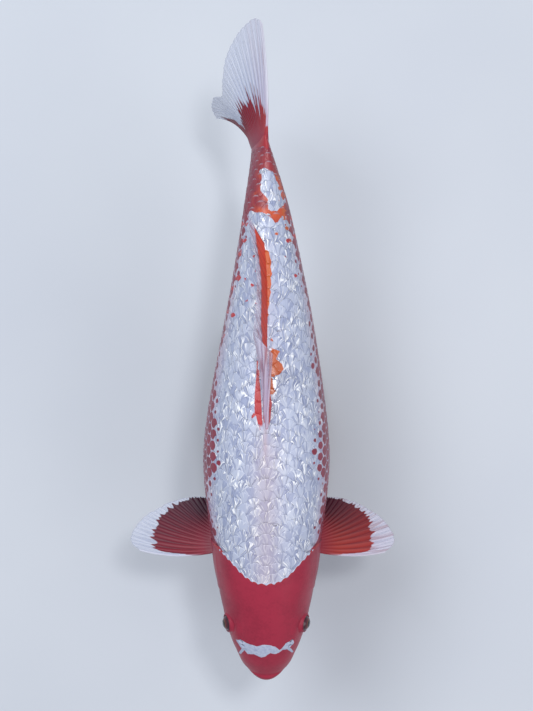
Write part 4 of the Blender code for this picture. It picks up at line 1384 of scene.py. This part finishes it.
def make_fins(sizes, colours):
    """The dorsal, anal and caudal fins, and the paired pectoral and pelvic fins.

    The pectoral fins' rays are a little longer or shorter than the table's on each side, and
    the left one is the warmer.
    """
    paint = fin_paint(colours)
    make_fin("dorsal_sail", DORSAL, False, FIN_LOOKS["dorsal"], sizes, paint, ["dorsal_fin"],
             shares=(0.993, 1.0))
    make_fin("anal_sail", ANAL, False, FIN_LOOKS["anal"], sizes, paint, ["anal_fin"])
    make_fin("tail_sail", CAUDAL, False, FIN_LOOKS["caudal"], sizes, paint, ["caudal_fin"])
    for hand, mirror, shares, tones in (
            ("left", 1, (0.981, 0.95), dict(warm=(0.70, 0.68, 0.48, 0.2),
                                            dusk=(0.2, 0.55, 0.85, 0.95))),
            ("right", -1, (1.09, 0.94), {})):
        look = dict(FIN_LOOKS["pectoral"], **tones)
        look["seed"] += mirror
        make_fin(f"pectoral_sail_{hand}", PECTORAL, True, look, sizes, paint,
                 [f"pectoral_fin_{hand}"], mirror, shares)
        look = dict(FIN_LOOKS["pelvic"])
        look["seed"] += mirror
        make_fin(f"pelvic_sail_{hand}", PELVIC, True, look, sizes, paint,
                 [f"pelvic_fin_{hand}"], mirror)


# ---------------------------------------------------------------------------------------
# Stand and stage
# ---------------------------------------------------------------------------------------

def turned(profile, middle, sides, stretch=(1.0, 1.0)):
    """A profile of radius and height carried round an upright line, closed at both ends."""
    profile = np.array(profile)
    turn = np.linspace(0, TURN, sides, endpoint=False)[None, :]
    radius, height = profile[1:-1, 0, None], profile[1:-1, 1, None]
    points = np.stack([middle[0] + radius * stretch[0] * np.cos(turn),
                       middle[1] + radius * stretch[1] * np.sin(turn), height + 0 * turn],
                      axis=-1)
    rows = len(profile) - 2
    ends = [(*middle, profile[0, 1]), (*middle, profile[-1, 1])]
    return (np.concatenate([points.reshape(-1, 3), ends]),
            [grid_faces(rows, sides, wrap=True), cap_faces(rows, sides)])


def rounded(radius, low, high, edge, steps=6):
    """A profile from the middle of the underside to the middle of the top, edges rounded."""
    bend = np.linspace(0, math.pi / 2, steps)
    lower = [(radius - edge + edge * math.sin(b), low + edge - edge * math.cos(b)) for b in bend]
    upper = [(radius - edge + edge * math.cos(b), high - edge + edge * math.sin(b))
             for b in bend]
    inner = [((radius - edge) * k, high) for k in (0.9, 0.6, 0.3)]
    under = [((radius - edge) * k, low) for k in (0.3, 0.6, 0.9)]
    return [(0.0, low)] + under + lower + upper + inner + [(0.0, high)]


def walnut_paint(colours):
    """Oiled walnut: bands of grain along Y, bent by slow noise, with fine dark pores."""
    paint = Paint("stand_walnut", roughness=0.34, coat_weight=0.35, coat_roughness=0.22)
    place = paint.place()
    warp = paint.noise(paint.scaled(place, (9.0, 2.0, 9.0)), 1.0, 3.0, 0.5)
    x = paint.node("ShaderNodeSeparateXYZ", {}, {0: place}, output=0)
    rings = paint.math("SINE", (x + warp * 0.11) * 520.0) * 0.5 + 0.5
    pores = paint.noise(paint.scaled(place, (900.0, 22.0, 900.0)), 1.0, 2.0, 0.6)
    colour = paint.mix(tuple(colours.walnut), tuple(colours.walnut_deep),
                       paint.smooth(rings * 0.6 + warp * 0.5, 0.25, 0.95))
    colour = paint.mix(colour, tuple(colours.walnut_deep), paint.smooth(pores, 0.6, 0.72) * 0.7)
    paint.colour(colour)
    paint.roughness(pores * 0.25 + 0.25)
    paint.relief(pores * 0.7 + rings * 0.3, 0.0003, 0.35)
    return paint.material


def steel_paint(colours):
    """Brushed steel: fine rings of scratches round each rod, and faint smudges."""
    paint = Paint("stand_steel", roughness=0.28, metallic=1.0)
    place = paint.place()
    brush = paint.noise(paint.scaled(place, (60.0, 60.0, 5200.0)), 1.0, 2.0, 0.6)
    smudge = paint.noise(place, 70.0, 3.0, 0.6)
    paint.colour(paint.mix(tuple(colours.steel), tuple(colours.steel_deep),
                           paint.smooth(smudge * 0.6 + brush * 0.4, 0.35, 0.75)))
    paint.roughness(brush * 0.22 + smudge * 0.12 + 0.16)
    paint.relief(brush, 0.00005, 0.4)
    return paint.material


# The base's breadth beside the solid's, a little less, so that the fish hides it from above.
BASE_SHARE = 0.955


def make_stand(sizes, colours):
    """An oval walnut base, two steel rods to the belly, and a collar round each rod's foot."""
    walnut, steel = walnut_paint(colours), steel_paint(colours)
    low, high = (np.array(corner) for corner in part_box("stand_base"))
    centre, size = (low + high) / 2, high - low
    points, faces = turned(rounded(0.5 * size[1], low[2], high[2], sizes.base_edge),
                           centre[:2], 128, (BASE_SHARE * size[0] / size[1], 1.0))
    assign(new_piece("stand_plinth", points, faces, walnut), "base_wood", "stand_base")
    for end in ("front", "rear"):
        low, high = (np.array(corner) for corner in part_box(f"stand_rod_{end}"))
        centre, radius = (low + high) / 2, (high[0] - low[0]) / 2
        points, faces = turned(rounded(radius, low[2], high[2], 0.0003, 3), centre[:2], 40)
        assign(new_piece(f"stand_post_{end}", points, faces, steel), "rod_steel",
               f"stand_rod_{end}")
        low, high = (np.array(corner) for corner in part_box(f"stand_collar_{end}"))
        centre, radius = (low + high) / 2, (high[0] - low[0]) / 2
        points, faces = turned(rounded(radius, low[2], high[2], 0.0008, 4), centre[:2], 64)
        assign(new_piece(f"stand_flange_{end}", points, faces, steel), "rod_steel",
               f"stand_collar_{end}")


def floor_paint(colours):
    """A matt pale floor with very faint clouds."""
    paint = Paint("stage_floor", roughness=0.75, specular_ior_level=0.25)
    cloud = paint.noise(paint.place(), 2.5, 3.0, 0.5)
    paint.colour(paint.mix(tuple(colours.floor), tuple(colours.floor_shade),
                           paint.smooth(cloud, 0.3, 0.8)))
    return paint.material


# The lights: each one's place and width in metres, its power's setting and its colour.
LIGHTS = {
    "key": ((-0.9, 0.9, 2.3), 1.1, "key_power", (0.92, 0.96, 1.0)),
    "fill": ((1.3, -0.7, 1.9), 1.4, "fill_power", (1.0, 0.965, 0.965)),
    "glint": ((0.35, 0.5, 2.4), 0.25, "glint_power", (1.0, 1.0, 1.0)),
}
LIGHTS_AIM = (0.0, 0.05, 0.25)
# The camera's place, its height over the body's axis and the length it sees at the axis's
# height, in metres, and its sensor's height in millimetres.
CAMERA_X, CAMERA_Y, CAMERA_ABOVE, LENGTH_SEEN = 0.0002, 0.09845, 1.35, 0.700335
SENSOR = 36.0


def make_stage(stage, colours):
    """A pale floor, soft lights, a pale sky, and a camera that looks straight down."""
    scene = bpy.context.scene
    reach = stage.floor_size / 2
    mesh = bpy.data.meshes.new("floor")
    mesh.from_pydata([(-reach, -reach, 0), (reach, -reach, 0), (reach, reach, 0),
                      (-reach, reach, 0)], [], [(0, 1, 2, 3)])
    mesh.materials.append(floor_paint(colours))
    floor = bpy.data.objects.new("floor", mesh)
    scene.collection.objects.link(floor)
    world = bpy.data.worlds.new("pale_room")
    world.use_nodes = True
    sky = world.node_tree.nodes["Background"]
    sky.inputs["Color"].default_value = (*stage.sky_colour, 1.0)
    sky.inputs["Strength"].default_value = stage.sky_strength
    scene.world = world
    for name, (place, size, power, colour) in LIGHTS.items():
        light = bpy.data.lights.new(name, "AREA")
        light.size, light.energy, light.color = size, getattr(stage, power), colour
        lamp = bpy.data.objects.new(name, light)
        scene.collection.objects.link(lamp)
        lamp.location = place
        aim = mathutils.Vector(LIGHTS_AIM) - lamp.location
        lamp.rotation_euler = aim.to_track_quat("-Z", "Y").to_euler()
    lens = bpy.data.cameras.new("overhead")
    lens.sensor_fit, lens.sensor_height, lens.sensor_width = "VERTICAL", SENSOR, SENSOR
    lens.lens = CAMERA_ABOVE / LENGTH_SEEN * SENSOR
    camera = bpy.data.objects.new("overhead", lens)
    camera.location = (CAMERA_X, CAMERA_Y, AXIS_Z + CAMERA_ABOVE)
    scene.collection.objects.link(camera)
    scene.camera = camera
    scene.view_settings.view_transform = "Standard"


# ---------------------------------------------------------------------------------------
# Settings
# ---------------------------------------------------------------------------------------

def colour_setting(name, description, default):
    return FloatVectorProperty(name=name, description=description, default=default, size=3,
                               min=0.0, max=1.0, subtype="COLOR")


def length_setting(name, description, default):
    return FloatProperty(name=name, description=description, default=default, min=0.0,
                         precision=5, subtype="DISTANCE", unit="LENGTH")


class KoiSizes(PropertyGroup):
    """Sizes of the carp's parts and its stand."""

    coat: length_setting("Coat depth", "How far the skin lies under the scales", 0.0007)
    eye_radius: length_setting("Eye radius", "The eyeball's radius", 0.0178 * SL)
    eye_opening: length_setting("Eye opening", "The radius of the skin's opening", 0.0083)
    barbel_radius: length_setting("Barbel radius", "A feeler's radius at its root", 0.0013)
    fin_ray_height: length_setting("Fin ray height", "How far a ray stands out", 0.00025)
    scale_thickness: length_setting("Scale thickness", "A scale's thickness", 0.00022)
    base_edge: length_setting("Base edge", "The rounding of the base's edges", 0.003)
    scale_reach: FloatProperty(name="Scale length", description="In spacings along the body",
                               default=1.50, min=1.1, max=2.0, subtype="FACTOR")
    scale_width: FloatProperty(name="Scale half width",
                               description="In spacings round the body", default=1.10,
                               min=0.9, max=1.3, subtype="FACTOR")


class KoiColours(PropertyGroup):
    """Colours of the carp, its stand and the floor."""

    head_red: colour_setting("Head red", "The head's main red", (0.350, 0.023, 0.053))
    head_deep: colour_setting("Head deep red", "The head's darker clouds", (0.275, 0.017, 0.042))
    flank_red: colour_setting("Flank red", "The red of the flanks", (0.26, 0.020, 0.050))
    flank_deep: colour_setting("Flank deep red", "The flanks' darker red", (0.19, 0.014, 0.038))
    saddle: colour_setting("Saddle", "The orange red before the tail", (0.56, 0.085, 0.030))
    orange: colour_setting("Orange", "The blotches by the dorsal fin", (0.54, 0.105, 0.020))
    stripe_red: colour_setting("Stripe red", "The stripes and dots", (0.48, 0.034, 0.042))
    pearl: colour_setting("Pearl", "The white back", (0.50, 0.54, 0.67))
    # Pearl shade: on the scales, painted shade in the wrinkles' low parts and on the darker
    # scales; on the skin, a darker tone that varies at random.
    pearl_shade: colour_setting("Pearl shade", "The back's wrinkles", (0.33, 0.37, 0.53))
    # Painted shade: the dark line beside each bright fold.
    pearl_fold_shade: colour_setting("Pearl deep", "Along the back's bright folds",
                               (0.20, 0.23, 0.38))
    # Painted highlight: the glint along the back's bright folds.
    pearl_painted_glint: colour_setting("Pearl light", "The back's bright folds", (0.92, 0.93, 0.97))
    flank_pearl: colour_setting("Flank pearl", "Between the flanks' red spots",
                                (0.46, 0.30, 0.43))
    belly: colour_setting("Belly", "The belly's white", (0.66, 0.58, 0.60))
    blush: colour_setting("Blush", "The throat's pale pink", (0.62, 0.44, 0.47))
    # Pit: painted shade inside the mouth, down the gill slit, in the nostril pits and along the
    # head's grooves.
    pit: colour_setting("Pit", "Deep in mouth, gills and nostrils", (0.05, 0.006, 0.012))
    iris: colour_setting("Iris", "The iris's maroon", (0.075, 0.014, 0.024))
    iris_gold: colour_setting("Iris gold", "The ring and streaks", (0.22, 0.085, 0.035))
    iris_edge: colour_setting("Iris edge", "The iris's dark edge", (0.035, 0.007, 0.016))
    fin_red: colour_setting("Fin red", "The fins' red", (0.27, 0.020, 0.036))
    fin_warm: colour_setting("Fin warm red", "The fins' orange red", (0.58, 0.060, 0.035))
    fin_deep: colour_setting("Fin deep red", "The fins' darker rays", (0.13, 0.011, 0.024))
    fin_pale: colour_setting("Fin pale", "The pale fins' rays", (0.66, 0.69, 0.80))
    fin_web: colour_setting("Fin web", "The web between pale rays", (0.48, 0.52, 0.68))
    fin_dusk: colour_setting("Fin dusk", "The rear rays' maroon", (0.034, 0.003, 0.018))
    fin_blush: colour_setting("Fin blush", "The pale web near the root", (0.72, 0.45, 0.62))
    fin_white: colour_setting("Fin white", "The tail's white edge", (0.72, 0.72, 0.82))
    walnut: colour_setting("Walnut", "The base's wood", (0.16, 0.075, 0.035))
    walnut_deep: colour_setting("Walnut grain", "The wood's grain", (0.055, 0.025, 0.013))
    steel: colour_setting("Steel", "The rods' metal", (0.62, 0.62, 0.64))
    steel_deep: colour_setting("Steel shade", "The metal's smudges", (0.46, 0.46, 0.49))
    floor: colour_setting("Floor", "The floor", (0.62, 0.65, 0.70))
    floor_shade: colour_setting("Floor shade", "The floor's clouds", (0.58, 0.61, 0.67))


class KoiStage(PropertyGroup):
    """Sizes and powers of the stage."""

    floor_size: FloatProperty(name="Floor size", description="The floor's width",
                              default=14.0, min=1.0, subtype="DISTANCE", unit="LENGTH")
    key_power: FloatProperty(name="Key power", description="The main light's power",
                             default=30.0, min=0.0, unit="POWER")
    fill_power: FloatProperty(name="Fill power", description="The second light's power",
                              default=12.0, min=0.0, unit="POWER")
    glint_power: FloatProperty(name="Glint power", description="The small light's power",
                               default=14.0, min=0.0, unit="POWER")
    sky_strength: FloatProperty(name="Sky strength", description="The pale room's light",
                                default=0.42, min=0.0, subtype="FACTOR")
    sky_colour: colour_setting("Sky", "The pale room's colour", (0.86, 0.91, 1.0))


# ---------------------------------------------------------------------------------------
# Operators and panel
# ---------------------------------------------------------------------------------------

class KOI_OT_skin(Operator):
    """Make the one skin over the head and the body"""

    bl_idname = "koi.skin"
    bl_label = "Skin"

    def execute(self, context):
        make_skin(context.scene.koi_sizes, context.scene.koi_colours)
        return {"FINISHED"}


class KOI_OT_scales(Operator):
    """Lay the overlapping scales over the skin"""

    bl_idname = "koi.scales"
    bl_label = "Scales"

    def execute(self, context):
        make_scales(context.scene.koi_sizes, context.scene.koi_colours)
        return {"FINISHED"}


class KOI_OT_eyes(Operator):
    """Make the eyeballs and the rims of skin round them"""

    bl_idname = "koi.eyes"
    bl_label = "Eyes"

    def execute(self, context):
        make_eyes(context.scene.koi_sizes, context.scene.koi_colours)
        return {"FINISHED"}


class KOI_OT_nostrils(Operator):
    """Make the flap in each nostril"""

    bl_idname = "koi.nostrils"
    bl_label = "Nostril flaps"

    def execute(self, context):
        make_nostrils()
        return {"FINISHED"}


class KOI_OT_barbels(Operator):
    """Make the four feelers by the mouth"""

    bl_idname = "koi.barbels"
    bl_label = "Barbels"

    def execute(self, context):
        make_barbels(context.scene.koi_sizes)
        return {"FINISHED"}


class KOI_OT_fins(Operator):
    """Make the seven fins"""

    bl_idname = "koi.fins"
    bl_label = "Fins"

    def execute(self, context):
        make_fins(context.scene.koi_sizes, context.scene.koi_colours)
        return {"FINISHED"}


class KOI_OT_stand(Operator):
    """Make the walnut base, the rods and their collars"""

    bl_idname = "koi.stand"
    bl_label = "Stand"

    def execute(self, context):
        make_stand(context.scene.koi_sizes, context.scene.koi_colours)
        return {"FINISHED"}


class KOI_OT_stage(Operator):
    """Set the floor, the lights and the camera"""

    bl_idname = "koi.stage"
    bl_label = "Stage"

    def execute(self, context):
        make_stage(context.scene.koi_stage, context.scene.koi_colours)
        return {"FINISHED"}


OPERATORS = (KOI_OT_stage, KOI_OT_skin, KOI_OT_scales, KOI_OT_eyes, KOI_OT_nostrils,
             KOI_OT_barbels, KOI_OT_fins, KOI_OT_stand)


class KOI_PT_panel(Panel):
    """The carp's pieces, sizes and colours in the sidebar"""

    bl_idname = "KOI_PT_panel"
    bl_label = "Koi carp"
    bl_space_type = "VIEW_3D"
    bl_region_type = "UI"
    bl_category = "Koi"

    def draw(self, context):
        for operator in OPERATORS:
            self.layout.operator(operator.bl_idname)
        for title, group in (("Sizes", context.scene.koi_sizes),
                             ("Colours", context.scene.koi_colours),
                             ("Stage", context.scene.koi_stage)):
            box = self.layout.box()
            box.label(text=title)
            for label in group.bl_rna.properties.keys():
                if label not in ("rna_type", "name"):
                    box.prop(group, label)


CLASSES = (KoiSizes, KoiColours, KoiStage, *OPERATORS, KOI_PT_panel)


def register():
    for made in CLASSES:
        bpy.utils.register_class(made)
    bpy.types.Scene.koi_sizes = PointerProperty(type=KoiSizes)
    bpy.types.Scene.koi_colours = PointerProperty(type=KoiColours)
    bpy.types.Scene.koi_stage = PointerProperty(type=KoiStage)


def unregister():
    for label in ("koi_sizes", "koi_colours", "koi_stage"):
        delattr(bpy.types.Scene, label)
    for made in reversed(CLASSES):
        bpy.utils.unregister_class(made)


def main():
    register()
    for call in (bpy.ops.koi.stage, bpy.ops.koi.skin, bpy.ops.koi.scales, bpy.ops.koi.eyes,
                 bpy.ops.koi.nostrils, bpy.ops.koi.barbels, bpy.ops.koi.fins,
                 bpy.ops.koi.stand):
        call()


if __name__ == "__main__":
    main()
